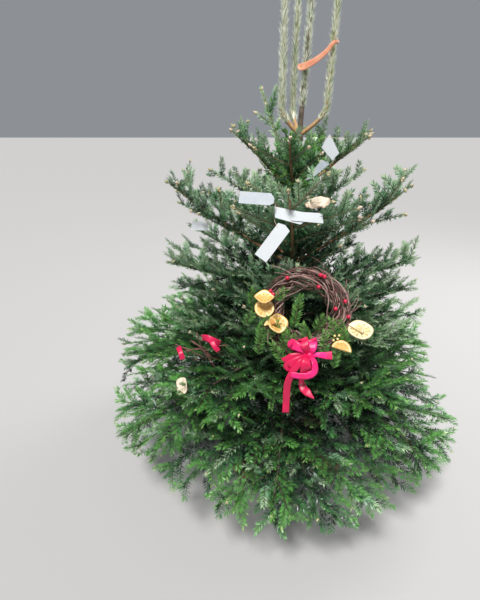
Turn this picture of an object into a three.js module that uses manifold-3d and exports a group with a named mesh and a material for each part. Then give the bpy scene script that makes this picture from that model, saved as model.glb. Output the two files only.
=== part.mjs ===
// A cut fir Christmas tree, about two metres tall, on a plain wooden cross stand.
// Millimetres, +Z up. The origin is on the floor under the middle of the stand, and +Y is the far side.
// The trunk runs whole from its flat cut to the tip of the leading shoot, with three side leaders beside it.
// Whorls of boughs leave it at six heights. Each bough carries one mass of needles: a stem with flat sprays
// that branch from it by one repeatable rule. Long boughs are bare near the trunk, and are pieces there.

import * as THREE from "three";
import { mergeVertices } from "three/addons/utils/BufferGeometryUtils.js";
import Module from "manifold-3d";

const wasm = await Module();
wasm.setup();

const GAP = 0.3; // clearance between pieces that touch
const STEP = 0.002; // share of a path over which its direction is taken

// Stand: two bars, half-lapped into a cross, and a brace on each arm
const BAR_LENGTH = 560;
const BAR_WIDTH = 85;
const BAR_HEIGHT = 38;
const BRACE_LENGTH = 105;
const BRACE_HEIGHT = 95;
const BRACE_WIDTH = 26;
const BRACE_LIP = 14; // height and depth that the slope of a brace leaves at its two ends
const ARMS = 4;
const BAR_TURN = 45; // degrees

// Trunk: its radius at the cut, at the whorl of leaders and at the tip, and how far it leans to +X
const CUT_Z = BAR_HEIGHT + GAP;
const LEADERS_Z = 1375;
const TIP_Z = 1985;
const CUT_RADIUS = 37;
const FLARE = 4; // swelling at the cut
const FLARE_HEIGHT = 60;
const LEADERS_RADIUS = 12;
const TIP_RADIUS = 3;
const LEAN_AT_LEADERS = 16;
const LEAN_AT_TIP = 46;
const SWAY_X = 5; // how far the trunk bends from its straight line
const SWAY_Y = 4;
const TRUNK_TAPER = 0.9; // below 1, the trunk is thinner half way up than a straight cone
const TRUNK_SIDES = 10;
const TRUNK_RINGS = 18;

// Side leaders: each bends out of the trunk and then runs up beside the leading shoot
const LEADERS = [
  { name: "leader_left", azimuth: 184, out: 66, tip: 1925, radius: 9 },
  { name: "leader_right", azimuth: -12, out: 84, tip: 1895, radius: 8 },
  { name: "leader_back", azimuth: 108, out: 72, tip: 1860, radius: 7.5 },
];
const LEADER_BEND = 100; // height in which a leader turns upright
const LEADER_SPREAD = 14; // how much further out its tip is
const LEADER_RINGS = 10;
const RINGS_LOW = 1.5; // above 1, a leader's rings are closer together in its bend
const LEADER_NEEDLES = 7;
const NEEDLE_LENGTH = 26;
const NEEDLE_RADIUS = 2;
const NEEDLE_ANGLE = 49; // degrees from the shoot
const NEEDLE_TURN = 137.5; // degrees round the shoot from one needle to the next
const NEEDLES_FROM = 0.4; // shares of a leader's height where its needles begin and end
const NEEDLES_TO = 0.94;
const TRUNK_NEEDLES_FROM = 0.78;

// Whorls from the lowest up. z is where the boughs leave the trunk, reach how far out they go, rise how far
// over z their tips are, and arch how far their middles stand over a straight line. A bough is bare up to
// that share of its reach. lop is the share by which boughs on the left outreach those on the right, and
// crests counts the sprays that stand up from the stem.
const WHORLS = [
  { name: "low", azimuths: [18, 78, 140, 202, 262, 320], z: 385, reach: 720, rise: -115, arch: 55,
    bare: 0.32, lop: 0.08, pairs: 3, crests: 0, curl: -0.08 },
  { name: "second", azimuths: [352, 52, 112, 172, 232, 292], z: 510, reach: 600, rise: 35, arch: 40,
    bare: 0.28, lop: 0.12, pairs: 3, crests: 0, curl: -0.04 },
  { name: "third", azimuths: [10, 82, 154, 210, 300], z: 640, reach: 505, rise: 75, arch: 10,
    bare: 0, lop: 0, pairs: 3, crests: 0, curl: 0 },
  { name: "fourth", azimuths: [350, 62, 134, 190, 270], z: 760, reach: 470, rise: 165, arch: 0,
    bare: 0, lop: 0.04, pairs: 3, crests: 0, curl: 0 },
  { name: "upper", azimuths: [264, 340, 52, 124, 190], z: 885, reach: 440, rise: 345, arch: -15,
    bare: 0.32, lop: 0.06, pairs: 3, crests: 1, curl: 0.03 },
  { name: "top", azimuths: [340, 58, 132, 178, 255], z: 1165, reach: 250, rise: 225, arch: -10,
    bare: 0, lop: 0, pairs: 2, crests: 0, curl: 0.03 },
];
// One shoot of the top whorl is steep and slender: its own reach, rise and sprays as shares of the others'
const STEEP = { whorl: "top", number: 3, reach: 0.74, rise: 1.9, sprays: 0.5 };
const REACH_SPREAD = 0.06; // share by which boughs of one whorl differ in length
const RISE_SPREAD = 26;
const SWEEP = 5; // degrees by which a bough may curve sideways
const BOUGH_GIRTH = 0.014; // a bough's radius at the trunk, as a share of its reach
const BOUGH_LEAST = 5;
const BOUGH_TIP_RADIUS = 3;
const BOUGH_SIDES = 6;
const BOUGH_RINGS = 2;
const STEM_SIDES = 3;
const STEM_END = 0.88; // share of the reach where the stem ends inside the spray at the tip
const TIP_SPRAY = 0.3; // length of that spray as a share of the reach

// Sprays: toothed blades, whose teeth are the side shoots with their needles
const FIRST_SPRAY = 0.17; // share of the reach where a mass without a bare bough begins
const SPRAY_TURN = 0.68; // angle between a spray and its stem, as a share of that between two boughs
const SPRAY_TURN_SPREAD = 9; // degrees
const SPRAY_SHARE = 0.82; // length of a spray as a share of the stem that is left beyond it
const SPRAY_LEAST = 95;
const SPRAY_SPREAD = 0.12;
const SPRAY_THICKNESS = 0.012; // as a share of its length, and never under the next
const THICKNESS_LEAST = 3.6;
const TOOTH_LENGTH = 160; // a spray has a tooth on each side for each such length
const SPRAY_WIDTH = 0.27; // half the width of a spray where it is widest, as a share of its length
const WIDEST_EARLY = 0.75; // below 1, the widest place is nearer the root than the tip
const FIRST_TOOTH = 0.4; // where the teeth begin, as a share of one tooth
const TOOTH_LEAN = 0.85; // how far a tooth reaches towards the spray's tip, as a share of the room it has
const NOTCH = 0.36; // width left between two teeth, as a share of the full width
const ROOT_NEAR = 20; // corners this near to a spray's root are in the stem's own space
const PAIR_START = 0.35; // where the first pair of sprays is, as a share of the distance between two pairs
const PAIR_END = 0.5; // and how much of that distance stays free beyond the last
const STAGGER = 0.12; // and how much further along the left spray of a pair is than its fellow
const TILTS = [4, -9, 13]; // degrees by which successive pairs rise from the stem's plane or dip under it
const TILT_SPREAD = 6;
const CREST_TILT = 42;
const CREST_START = 0.9;
const CREST_END = 1.6;
const CREST_TURN = 25;
const CREST_SHARE = 0.26;
const ROLL = 14; // degrees by which a spray may turn about its own shoot
const SAG = 0.1; // how far a spray's edges hang, as a share of their distance from its middle
const FINEST = 1; // detail of a mass under this size is evened out
const ROOT_SUNK = 2.5; // how far a spray's root passes the middle of its stem

// Space: a spray that would leave its mass's space is tried shorter and nearer to its stem, and is left out
// after the last try
const SHORTEN = 0.92;
const TURN_IN = 0.88;
const TRIES = 12;
const SPACE_MARGIN = 4;
const LOWEST = 150;
const LEADER_ROOM = 125; // no mass comes nearer than this to the trunk's middle beside the leaders
const RIM = 1.01; // how far out a spray may reach, as a share of its bough's reach

const radians = THREE.MathUtils.degToRad;
const degrees = THREE.MathUtils.radToDeg;
const lerp = THREE.MathUtils.lerp;
const wrap = THREE.MathUtils.euclideanModulo;
const vector = (x = 0, y = 0, z = 0) => new THREE.Vector3(x, y, z);

// A repeatable number from -1 to 1 for each whole number n.
function spread(n) {
  const x = Math.sin(n * 12.9898 + 78.233) * 43758.5453;
  return 2 * (x - Math.floor(x)) - 1;
}

function solid(geometry) {
  const bare = geometry.clone();
  bare.deleteAttribute("normal");
  bare.deleteAttribute("uv");
  const merged = mergeVertices(bare, 1e-3);
  const vertProperties = new Float32Array(merged.getAttribute("position").array);
  const triVerts = new Uint32Array(merged.index.array);
  return new wasm.Manifold(new wasm.Mesh({ numProp: 3, vertProperties, triVerts }));
}

// The largest body of a solid, without loose scraps and with any sealed hollow filled.
function largest(manifold) {
  return manifold.decompose().reduce((a, b) => (a.volume() > b.volume() ? a : b));
}

function geometryOf(manifold) {
  const { vertProperties, triVerts } = manifold.getMesh();
  const geometry = new THREE.BufferGeometry();
  geometry.setAttribute("position", new THREE.BufferAttribute(vertProperties, 3));
  geometry.setIndex(new THREE.BufferAttribute(triVerts, 1));
  geometry.computeVertexNormals();
  return geometry;
}

// Direction of a path at t, with the level direction to its right and the one over it.
function axesAt(path, t) {
  const along = path(Math.min(1, t + STEP)).sub(path(Math.max(0, t - STEP))).normalize();
  const right = path(1).sub(path(0)).cross(vector(0, 0, 1)).normalize();
  const over = vector().crossVectors(right, along).normalize();
  return { along, right: vector().crossVectors(along, over), over };
}

// A closed tapering limb along a path, from t = from to t = to.
function limb(path, radius, sides, rings, from = 0, to = 1) {
  const geometry = new THREE.CylinderGeometry(1, 1, 1, sides, rings);
  const position = geometry.getAttribute("position");
  for (let i = 0; i < position.count; i++) {
    const t = lerp(from, to, position.getY(i) + 0.5);
    const { right, over } = axesAt(path, t);
    const placed = path(t);
    placed.addScaledVector(right, position.getX(i) * radius(t));
    placed.addScaledVector(over, position.getZ(i) * radius(t));
    position.setXYZ(i, placed.x, placed.y, placed.z);
  }
  return solid(geometry);
}

// Single needles that stand out of a leader, pointing up and outwards all round it.
function bristles(path, from) {
  return Array.from({ length: LEADER_NEEDLES }, (_, i) => {
    const t = lerp(from, NEEDLES_TO, (i + 0.5) / LEADER_NEEDLES);
    const { along, right } = axesAt(path, t);
    const out = right.applyAxisAngle(along, radians(NEEDLE_TURN * i));
    const direction = along.multiplyScalar(Math.cos(radians(NEEDLE_ANGLE)));
    direction.addScaledVector(out, Math.sin(radians(NEEDLE_ANGLE)));
    const needle = new THREE.ConeGeometry(NEEDLE_RADIUS, NEEDLE_LENGTH, 3).translate(0, NEEDLE_LENGTH / 2, 0);
    needle.applyQuaternion(new THREE.Quaternion().setFromUnitVectors(vector(0, 1, 0), direction));
    const { x, y, z } = path(t);
    return solid(needle.translate(x, y, z));
  });
}

// Trunk
function trunkAxis(z) {
  const share = Math.min(1, (z - CUT_Z) / (LEADERS_Z - CUT_Z));
  const beyond = Math.max(0, (z - LEADERS_Z) / (TIP_Z - LEADERS_Z));
  const lean = LEAN_AT_LEADERS * share + (LEAN_AT_TIP - LEAN_AT_LEADERS) * beyond;
  return vector(lean + SWAY_X * Math.sin(share * 2 * Math.PI), SWAY_Y * Math.sin(share * Math.PI), z);
}

function trunkRadius(z) {
  if (z > LEADERS_Z) return lerp(LEADERS_RADIUS - 2, TIP_RADIUS, (z - LEADERS_Z) / (TIP_Z - LEADERS_Z));
  const flare = FLARE * Math.exp((CUT_Z - z) / FLARE_HEIGHT);
  return flare + lerp(CUT_RADIUS, LEADERS_RADIUS, ((z - CUT_Z) / (LEADERS_Z - CUT_Z)) ** TRUNK_TAPER);
}

function trunkSolid(extra) {
  const geometry = new THREE.CylinderGeometry(1, 1, 1, TRUNK_SIDES, TRUNK_RINGS);
  const position = geometry.getAttribute("position");
  for (let i = 0; i < position.count; i++) {
    const z = lerp(CUT_Z, TIP_Z, position.getY(i) + 0.5);
    const radius = trunkRadius(z) + extra;
    const { x, y } = trunkAxis(z);
    position.setXYZ(i, x + radius * position.getZ(i), y + radius * position.getX(i), z);
  }
  return solid(geometry);
}

function leaderSolid({ azimuth, out, tip, radius }, extra) {
  const turn = radians(azimuth);
  const path = (t) => {
    const z = lerp(LEADERS_Z, tip, t ** RINGS_LOW);
    const r = out * Math.sin(0.5 * Math.PI * Math.min(1, (z - LEADERS_Z) / LEADER_BEND)) + LEADER_SPREAD * t;
    const { x, y } = trunkAxis(lerp(LEADERS_Z, z, 0.5));
    return vector(x + r * Math.cos(turn), y + r * Math.sin(turn), z);
  };
  const girth = (t) => lerp(radius, TIP_RADIUS, t) + extra;
  return wasm.Manifold.union([limb(path, girth, BOUGH_SIDES, LEADER_RINGS), ...bristles(path, NEEDLES_FROM)]);
}

// Boughs: one entry for each, whose path runs from the trunk's middle at t = 0 to the tip of its needles at 1
function boughsOf(whorl, level) {
  return whorl.azimuths.map((azimuth, i) => {
    const seed = 100 * (level + 1) + 12 * i;
    const steep = STEEP.whorl === whorl.name && STEEP.number === i + 1;
    const lop = 1 - whorl.lop * Math.cos(radians(azimuth));
    const reach = whorl.reach * (1 + REACH_SPREAD * spread(seed)) * lop * (steep ? STEEP.reach : 1);
    const rise = (whorl.rise + RISE_SPREAD * spread(seed + 1)) * (steep ? STEEP.rise : 1);
    const sweep = SWEEP * spread(seed + 2);
    const foot = trunkAxis(whorl.z);
    const path = (t) => {
      const turn = radians(azimuth + sweep * t * t);
      const z = whorl.z + rise * t + 4 * whorl.arch * t * (1 - t);
      return vector(foot.x + reach * t * Math.cos(turn), foot.y + reach * t * Math.sin(turn), z);
    };
    const root = Math.max(BOUGH_GIRTH * reach, BOUGH_LEAST);
    const radius = (t) => lerp(root, BOUGH_TIP_RADIUS, t);
    const bushy = steep ? STEEP.sprays : 1;
    return { whorl, level, number: i + 1, azimuth, seed, reach, bushy, path, radius };
  });
}

// Height of a whorl's boughs at the distance r from the trunk, carried on beyond their tips.
function heightAt(level, r) {
  const { z, rise, arch, reach } = WHORLS[level];
  const t = r / reach;
  return z + rise * t + 4 * arch * Math.min(t * (1 - t), 1 - t);
}

// Whether a point is in the space of a bough's mass: in its sector of the whorl as far as its rim, and between
// the surfaces midway to the whorls over and under it.
function inSpace({ whorl, level, number, azimuth, reach }, point) {
  const foot = trunkAxis(whorl.z);
  const x = point.x - foot.x;
  const y = point.y - foot.y;
  const r = Math.hypot(x, y);
  if (r > RIM * reach || (point.z > LEADERS_Z - LEADER_BEND / 2 && r < LEADER_ROOM)) return false;
  const count = whorl.azimuths.length;
  const after = wrap(whorl.azimuths[number % count] - azimuth, 360) / 2;
  const before = wrap(azimuth - whorl.azimuths[(number + count - 2) % count], 360) / 2;
  const off = wrap(degrees(Math.atan2(y, x)) - azimuth + 180, 360) - 180;
  const edge = Math.min(after - off, before + off, 90);
  if (r * Math.sin(radians(edge)) < SPACE_MARGIN) return false;
  const here = heightAt(level, r);
  const top = level + 1 < WHORLS.length ? (here + heightAt(level + 1, r)) / 2 : TIP_Z;
  const floor = level > 0 ? (here + heightAt(level - 1, r)) / 2 : LOWEST;
  return point.z < top - SPACE_MARGIN && point.z > floor + SPACE_MARGIN;
}

// Outline of a spray in its own plane: teeth along its right edge, the tip, and the same teeth on its left.
function sprayOutline(length) {
  const teeth = Math.max(1, Math.round(length / TOOTH_LENGTH));
  const width = (share) => SPRAY_WIDTH * length * Math.sin(Math.PI * share ** WIDEST_EARLY);
  const edge = [];
  for (let i = 0; i < teeth; i++) {
    const notch = (i + FIRST_TOOTH) / (teeth + FIRST_TOOTH);
    const tip = notch + TOOTH_LEAN / (teeth + FIRST_TOOTH);
    edge.push(new THREE.Vector2(notch * length, NOTCH * width(notch)));
    edge.push(new THREE.Vector2(tip * length, width((notch + tip) / 2)));
  }
  const right = edge.map(({ x, y }) => new THREE.Vector2(x, -y));
  return [new THREE.Vector2(0, 0), ...right, new THREE.Vector2(length, 0), ...edge.reverse()];
}

// A spray's geometry: its outline with a thickness, curled along its length, with its root on the stem.
function sprayAt(root, direction, up, length, curl) {
  const shape = new THREE.Shape(sprayOutline(length));
  const depth = Math.max(SPRAY_THICKNESS * length, THICKNESS_LEAST);
  const geometry = new THREE.ExtrudeGeometry(shape, { depth, bevelEnabled: false });
  const across = vector().crossVectors(up, direction);
  const position = geometry.getAttribute("position");
  for (let i = 0; i < position.count; i++) {
    const x = position.getX(i);
    const y = position.getY(i);
    const lift = position.getZ(i) - depth / 2 + (curl * x * x) / length - SAG * Math.abs(y);
    const placed = root.clone().addScaledVector(direction, x);
    placed.addScaledVector(across, y).addScaledVector(up, lift);
    position.setXYZ(i, placed.x, placed.y, placed.z);
  }
  geometry.deleteAttribute("normal");
  geometry.deleteAttribute("uv");
  return mergeVertices(geometry, 1e-3);
}

// The sprays of one mass: where each leaves the stem, its two angles, its length and its seed.
function spraysOf({ whorl, reach, seed, bushy }) {
  const first = whorl.bare || FIRST_SPRAY;
  const turn = (SPRAY_TURN * 360) / whorl.azimuths.length;
  const sprays = [{ t: 1 - TIP_SPRAY, angle: 0, tilt: 0, length: TIP_SPRAY * reach, n: seed + 9 }];
  for (let k = 0; k < whorl.pairs; k++) {
    for (const flank of [-1, 1]) {
      const n = seed + 3 + k + 20 * (flank + 1);
      const t = lerp(first, 1, (k + PAIR_START + STAGGER * flank) / (whorl.pairs + PAIR_END));
      const stem = SPRAY_LEAST + SPRAY_SHARE * (1 - t) * reach;
      const length = bushy * stem * (1 + SPRAY_SPREAD * spread(n));
      const angle = flank * (turn + SPRAY_TURN_SPREAD * spread(n + 7));
      sprays.push({ t, angle, tilt: TILTS[k] + TILT_SPREAD * spread(n + 14), length, n });
    }
  }
  for (let k = 0; k < whorl.crests; k++) {
    const t = lerp(first, 1, (k + CREST_START) / (whorl.crests + CREST_END));
    const angle = CREST_TURN * spread(seed + k + 70);
    sprays.push({ t, angle, tilt: CREST_TILT, length: CREST_SHARE * reach, n: seed + k + 80 });
  }
  return sprays;
}

// The blade of a spray at its i-th try, and its root.
function bladeOf({ path, whorl }, { t, angle, tilt, length, n }, i) {
  const { along, right, over } = axesAt(path, t);
  const direction = along.clone().applyAxisAngle(over, radians(angle * TURN_IN ** i));
  direction.multiplyScalar(Math.cos(radians(tilt))).addScaledVector(over, Math.sin(radians(tilt)));
  const across = vector().crossVectors(over, direction);
  if (across.lengthSq() < 0.01) across.copy(right);
  const up = vector().crossVectors(direction, across.normalize());
  up.applyAxisAngle(direction, radians(ROLL * spread(n + 30)));
  const root = path(t).addScaledVector(direction, -ROOT_SUNK);
  return { root, blade: sprayAt(root, direction, up, length * SHORTEN ** i, whorl.curl) };
}

// One mass of needles: the stem and every spray that finds room, fused into one solid
function massSolid(bough) {
  const { path, radius, whorl, reach } = bough;
  const from = whorl.bare ? whorl.bare + GAP / reach : 0;
  const parts = [limb(path, radius, STEM_SIDES, BOUGH_RINGS, from, STEM_END)];
  for (const spray of spraysOf(bough)) {
    for (let i = 0; i < TRIES; i++) {
      const { root, blade } = bladeOf(bough, spray, i);
      const position = blade.getAttribute("position");
      const indices = Array.from({ length: position.count }, (_, j) => j);
      const corners = indices.map((j) => vector().fromBufferAttribute(position, j));
      if (corners.every((corner) => inSpace(bough, corner) || corner.distanceTo(root) < ROOT_NEAR)) {
        parts.push(solid(blade));
        break;
      }
    }
  }
  return largest(wasm.Manifold.union(parts).simplify(FINEST));
}

// Stand
function barSolid(notchHeight) {
  const bar = new THREE.BoxGeometry(BAR_LENGTH, BAR_WIDTH, BAR_HEIGHT).translate(0, 0, BAR_HEIGHT / 2);
  const notch = new THREE.BoxGeometry(BAR_WIDTH + 2 * GAP, 2 * BAR_WIDTH, BAR_HEIGHT + GAP);
  return solid(bar).subtract(solid(notch.translate(0, 0, notchHeight)));
}

function braceSolid(turn, trunkRoom) {
  const inner = CUT_RADIUS - BRACE_LIP;
  const corners = [
    [inner, 0],
    [inner + BRACE_LENGTH, 0],
    [inner + BRACE_LENGTH, BRACE_LIP],
    [inner + 2 * BRACE_LIP, BRACE_HEIGHT],
    [inner, BRACE_HEIGHT],
  ];
  const shape = new THREE.Shape(corners.map(([x, y]) => new THREE.Vector2(x, y)));
  const brace = new THREE.ExtrudeGeometry(shape, { depth: BRACE_WIDTH, bevelEnabled: false });
  brace.translate(0, 0, -BRACE_WIDTH / 2).rotateX(Math.PI / 2).rotateZ(radians(turn));
  return solid(brace.translate(0, 0, BAR_HEIGHT + GAP)).subtract(trunkRoom);
}

const bark = new THREE.MeshStandardMaterial({ color: 0x6b5540, roughness: 0.9, metalness: 0 });
const shootBark = new THREE.MeshStandardMaterial({ color: 0x938560, roughness: 0.8, metalness: 0 });
const needles = new THREE.MeshStandardMaterial({ color: 0x3f6b3a, roughness: 0.55, metalness: 0 });
const timber = new THREE.MeshStandardMaterial({ color: 0xb9935f, roughness: 0.8, metalness: 0 });

const tree = new THREE.Group();

function add(name, manifold, material) {
  const mesh = new THREE.Mesh(geometryOf(manifold), material);
  mesh.name = name;
  tree.add(mesh);
}

const trunkPath = (t) => trunkAxis(lerp(CUT_Z, TIP_Z, t));
const trunkNeedles = bristles(trunkPath, TRUNK_NEEDLES_FROM);
const trunkRoom = trunkSolid(GAP);
add("trunk", wasm.Manifold.union([trunkSolid(0), ...trunkNeedles]), bark);
let leaderRoom = trunkRoom;
for (const leader of LEADERS) {
  add(leader.name, leaderSolid(leader, 0).subtract(leaderRoom), shootBark);
  leaderRoom = leaderRoom.add(leaderSolid(leader, GAP));
}

for (const bough of WHORLS.flatMap(boughsOf)) {
  const { whorl, number, path, radius } = bough;
  if (whorl.bare) {
    const wood = limb(path, radius, BOUGH_SIDES, BOUGH_RINGS, 0, whorl.bare);
    add(`bough_${whorl.name}_${number}`, wood.subtract(trunkRoom), bark);
  }
  add(`needles_${whorl.name}_${number}`, massSolid(bough).subtract(trunkRoom), needles);
}

const turnedBar = (notchHeight, turn) => barSolid(notchHeight).rotate([0, 0, turn]);
add("stand_bar_lower", turnedBar(BAR_HEIGHT, BAR_TURN), timber);
add("stand_bar_upper", turnedBar(0, BAR_TURN + 90), timber);
for (let i = 0; i < ARMS; i++) {
  add(`stand_brace_${i + 1}`, braceSolid(BAR_TURN + (360 / ARMS) * i, trunkRoom), timber);
}

export default tree;
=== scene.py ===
"""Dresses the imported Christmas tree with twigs, needles, bark, buds, decorations and the timber of its stand.

Metres, +Z up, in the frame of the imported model, and +Y is the far side. The boughs and their sprays follow
the rule of the part's source, with the same sizes, and carry it on to finer twigs inside the same space.
"""

import math
from collections import namedtuple

import bpy
import numpy as np
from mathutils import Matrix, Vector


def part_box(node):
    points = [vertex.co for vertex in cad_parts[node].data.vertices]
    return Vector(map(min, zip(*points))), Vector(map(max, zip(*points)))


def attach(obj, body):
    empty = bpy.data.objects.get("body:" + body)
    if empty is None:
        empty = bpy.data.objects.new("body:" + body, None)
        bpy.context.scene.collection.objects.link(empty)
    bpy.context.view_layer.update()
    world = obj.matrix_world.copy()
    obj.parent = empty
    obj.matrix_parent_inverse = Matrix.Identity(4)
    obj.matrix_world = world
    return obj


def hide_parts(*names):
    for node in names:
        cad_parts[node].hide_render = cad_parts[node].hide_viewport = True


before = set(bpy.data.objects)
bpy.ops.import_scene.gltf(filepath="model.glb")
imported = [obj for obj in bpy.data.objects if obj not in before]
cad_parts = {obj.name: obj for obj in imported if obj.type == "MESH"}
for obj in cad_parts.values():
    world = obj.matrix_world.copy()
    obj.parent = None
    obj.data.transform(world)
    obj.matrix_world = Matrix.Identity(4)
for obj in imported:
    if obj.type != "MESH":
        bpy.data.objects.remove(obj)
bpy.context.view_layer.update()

bl_info = {
    "name": "Dressed Christmas tree",
    "version": (1, 0, 0),
    "blender": (4, 5, 0),
    "location": "3D View > Sidebar > Tree",
    "description": "Grows the twigs and needles of the packed Christmas tree and hangs its decorations",
    "category": "Object",
}

BODY = "root"
UP = np.array([0.0, 0.0, 1.0])

# Trunk and leaders, as in the part's source
CUT_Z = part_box("trunk")[0].z
TIP_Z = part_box("trunk")[1].z
LEADERS_Z = 1.375
CUT_RADIUS = 0.037
FLARE = 0.004
FLARE_HEIGHT = 0.06
LEADERS_RADIUS = 0.012
TIP_RADIUS = 0.003
LEAN_AT_LEADERS = 0.016
LEAN_AT_TIP = 0.046
SWAY_X = 0.005
SWAY_Y = 0.004
TRUNK_TAPER = 0.9
Leader = namedtuple("Leader", "name azimuth out tip radius")
LEADERS = (
    Leader("leader_left", 184, 0.066, 1.925, 0.009),
    Leader("leader_right", -12, 0.084, 1.895, 0.008),
    Leader("leader_back", 108, 0.072, 1.86, 0.0075),
)
LEADER_BEND = 0.1
LEADER_SPREAD = 0.014
RINGS_LOW = 1.5

# Whorls and boughs, as in the part's source
Whorl = namedtuple("Whorl", "name azimuths z reach rise arch bare lop pairs crests curl")
WHORLS = (
    Whorl("low", (18, 78, 140, 202, 262, 320), 0.385, 0.72, -0.115, 0.055, 0.32, 0.08, 3, 0, -0.08),
    Whorl("second", (352, 52, 112, 172, 232, 292), 0.51, 0.6, 0.035, 0.04, 0.28, 0.12, 3, 0, -0.04),
    Whorl("third", (10, 82, 154, 210, 300), 0.64, 0.505, 0.075, 0.01, 0, 0, 3, 0, 0),
    Whorl("fourth", (350, 62, 134, 190, 270), 0.76, 0.47, 0.165, 0, 0, 0.04, 3, 0, 0),
    Whorl("upper", (264, 340, 52, 124, 190), 0.885, 0.44, 0.345, -0.015, 0.32, 0.06, 3, 1, 0.03),
    Whorl("top", (340, 58, 132, 178, 255), 1.165, 0.25, 0.225, -0.01, 0, 0, 2, 0, 0.03),
)
STEEP_WHORL = "top"
STEEP_NUMBER = 3
STEEP_REACH = 0.74
STEEP_RISE = 1.9
STEEP_SPRAYS = 0.5
REACH_SPREAD = 0.06
RISE_SPREAD = 0.026
SWEEP = 5
BOUGH_GIRTH = 0.014
BOUGH_LEAST = 0.005
BOUGH_TIP_RADIUS = 0.003
TIP_SPRAY = 0.3
FIRST_SPRAY = 0.17
SPRAY_TURN = 0.68
SPRAY_TURN_SPREAD = 9
SPRAY_SHARE = 0.82
SPRAY_LEAST = 0.095
SPRAY_SPREAD = 0.12
SPRAY_WIDTH = 0.27
WIDEST_EARLY = 0.75
PAIR_START = 0.35
PAIR_END = 0.5
STAGGER = 0.12
TILTS = (4, -9, 13)
TILT_SPREAD = 6
CREST_TILT = 42
CREST_START = 0.9
CREST_END = 1.6
CREST_TURN = 25
CREST_SHARE = 0.26
ROLL = 14
SAG = 0.1
ROOT_SUNK = 0.0025
ROOT_NEAR = 0.02
SHORTEN = 0.92
TURN_IN = 0.88
TRIES = 12
SPACE_MARGIN = 0.004
LOWEST = 0.15
LEADER_ROOM = 0.125
RIM = 1.01  # furthest that a spray reaches, as a share of its own bough's reach
RIM_LOOSE = 0.009  # how much further a finer shoot may reach

# Finer twigs, with one value for each whorl where there are six
FORK_STEP = (0.044, 0.048, 0.054, 0.058, 0.066, 0.07)  # length of stem for each pair of side shoots
FORK_LIFT = (2, 4, 6, 8, 12, 12)  # degrees
FORK_DROOP = (0.16, 0.1, 0.05, 0.0, -0.1, -0.12)
FORK_ANGLE = 39
FORK_SHARE = 0.2  # length of a side shoot at its parent's root, as a share of the parent
FORK_LEAST = (0.074, 0.074, 0.074, 0.07, 0.054, 0.05)
FORK_RAISED = 0.45  # share of the side shoots that stand up out of their parent's plane
FORK_RAISE = 32  # degrees
FORK_LOOSE = (0.035, 0.03, 0.02, 0.02, 0.012, 0.012)  # how far a side shoot may leave its mass's space
THIRD_FROM = 0.13  # length from which a shoot of the second order has shoots of its own
LEAST_SHOOT = 0.026
STEM_END = 0.97
BORDER_WHORLS = 4  # whorls, from the ground, whose boughs have a pair of stems beside their borders
BORDER_START = 0.15
BORDER_TURN = 2
BORDER_SHARE = (0.95, 0.84, 0.76, 0.74)
BORDER_TILT = (-8, 0, 0, 0)
BORDER_LONGEST = 0.62
BORDER_LOOSE = 0.035
HALFWAY_WHORLS = 2  # whorls whose boughs have two more stems, between those and their own line
HALFWAY_START = 0.36
HALFWAY_TURN = 0.55
HALFWAY_SHARE = 0.66
HALFWAY_TILT = -4
SHELL_FROM = 0.45  # share of its whorl's reach from which a shoot is in the crown's outer shell
SHELL_CELL = 0.049  # spacing of the finer shoots in the shell
CORE_CELL = 0.066
CREST_STEP = (0.024, 0.026, 0.04, 0.045, 0.06, 0.06)  # length of bough for each short shoot that stands up
CREST_LIFT = (15, 50)  # degrees
HANGING_STEP = (0.026,)  # the same for the shoots that hang from the lowest whorl's boughs
HANGING_LIFT = (-60, -12)
CREST_SIDEWAYS = 50  # degrees
CREST_END_SHARE = 0.95
CREST_LENGTH = (0.07, 0.15)
CREST_LOOSE = 0.02
TRUNK_STEP = 0.009  # height of trunk for each shoot between the whorls
TRUNK_LOW = (0.2, 0.42)  # heights between which there are as many shoots again
TRUNK_FROM = 0.28
TRUNK_TO = 1.1
TRUNK_PITCH = (-6, 35)  # degrees, and more further up
TRUNK_LENGTH = ((TRUNK_FROM, 0.7, 1.0, TRUNK_TO), (0.48, 0.4, 0.24, 0.16))  # heights, and lengths there
TRUNK_LOOSE = 0.03
BRUSH_SHOOTS = 60
BRUSH_FROM = 1.08
BRUSH_TO = 1.35
BRUSH_PITCH = (42, 64)  # degrees
BRUSH_LENGTH = ((BRUSH_FROM, BRUSH_TO), (0.21, 0.1))
GOLDEN_TURN = 137.5
GIRTHS = (0.0034, 0.0018, 0.0013)  # radius of a shoot of each order at its root
SECOND_ON = (0.12, 0.97)  # shares of a stem between which it has side shoots
THIRD_ON = (0.3, 0.9)
SLIM = 0.15  # width of a stem beside a border, as a share of a spray's
BLADE = ((0.4, 1), (0.7, 1), (1.0, 0), (0.4, -1), (0.7, -1))  # share along a spray's blade, and its side

COLLAR = 0.14  # swelling of the trunk under a whorl, as a share of its radius
COLLAR_HEIGHT = 0.012
# Pieces of the boughs' wood, low and high, each with its bark's name and its dark, light and mossy colours
# The low boughs' bark is darkened past its own colour, as painted shade, to sink into the crown's shade
BOUGH_BARKS = (
    ("boughs_low", "bough_bark", (0.035, 0.025, 0.015), (0.1, 0.075, 0.045), (0.07, 0.08, 0.035)),
    ("boughs_high", "young_bough_bark", (0.22, 0.1, 0.045), (0.4, 0.25, 0.12), (0.24, 0.22, 0.1)),
)

# Buds, as the share of tips that bear them, for the lower whorls, the fifth and the top one
BUDS_FIRST = np.array([0.15, 1.0, 1.0])
BUDS_FINER = np.array([0.02, 0.12, 0.08])
BUDS_IN_CLUSTER = 5
BUD_LENGTH = 0.02
BUD_COLOURS = {0: (0.5, 0.42, 0.27), 1: (0.58, 0.46, 0.36), 2: (0.4, 0.34, 0.18)}
# Brown and olive twigs are darkened as painted shade, to sink into the crown's shade; young is their own colour
TWIG_COLOURS = {"brown": (0.036, 0.03, 0.017), "olive": (0.045, 0.055, 0.024), "young": (0.15, 0.125, 0.065)}

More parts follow.
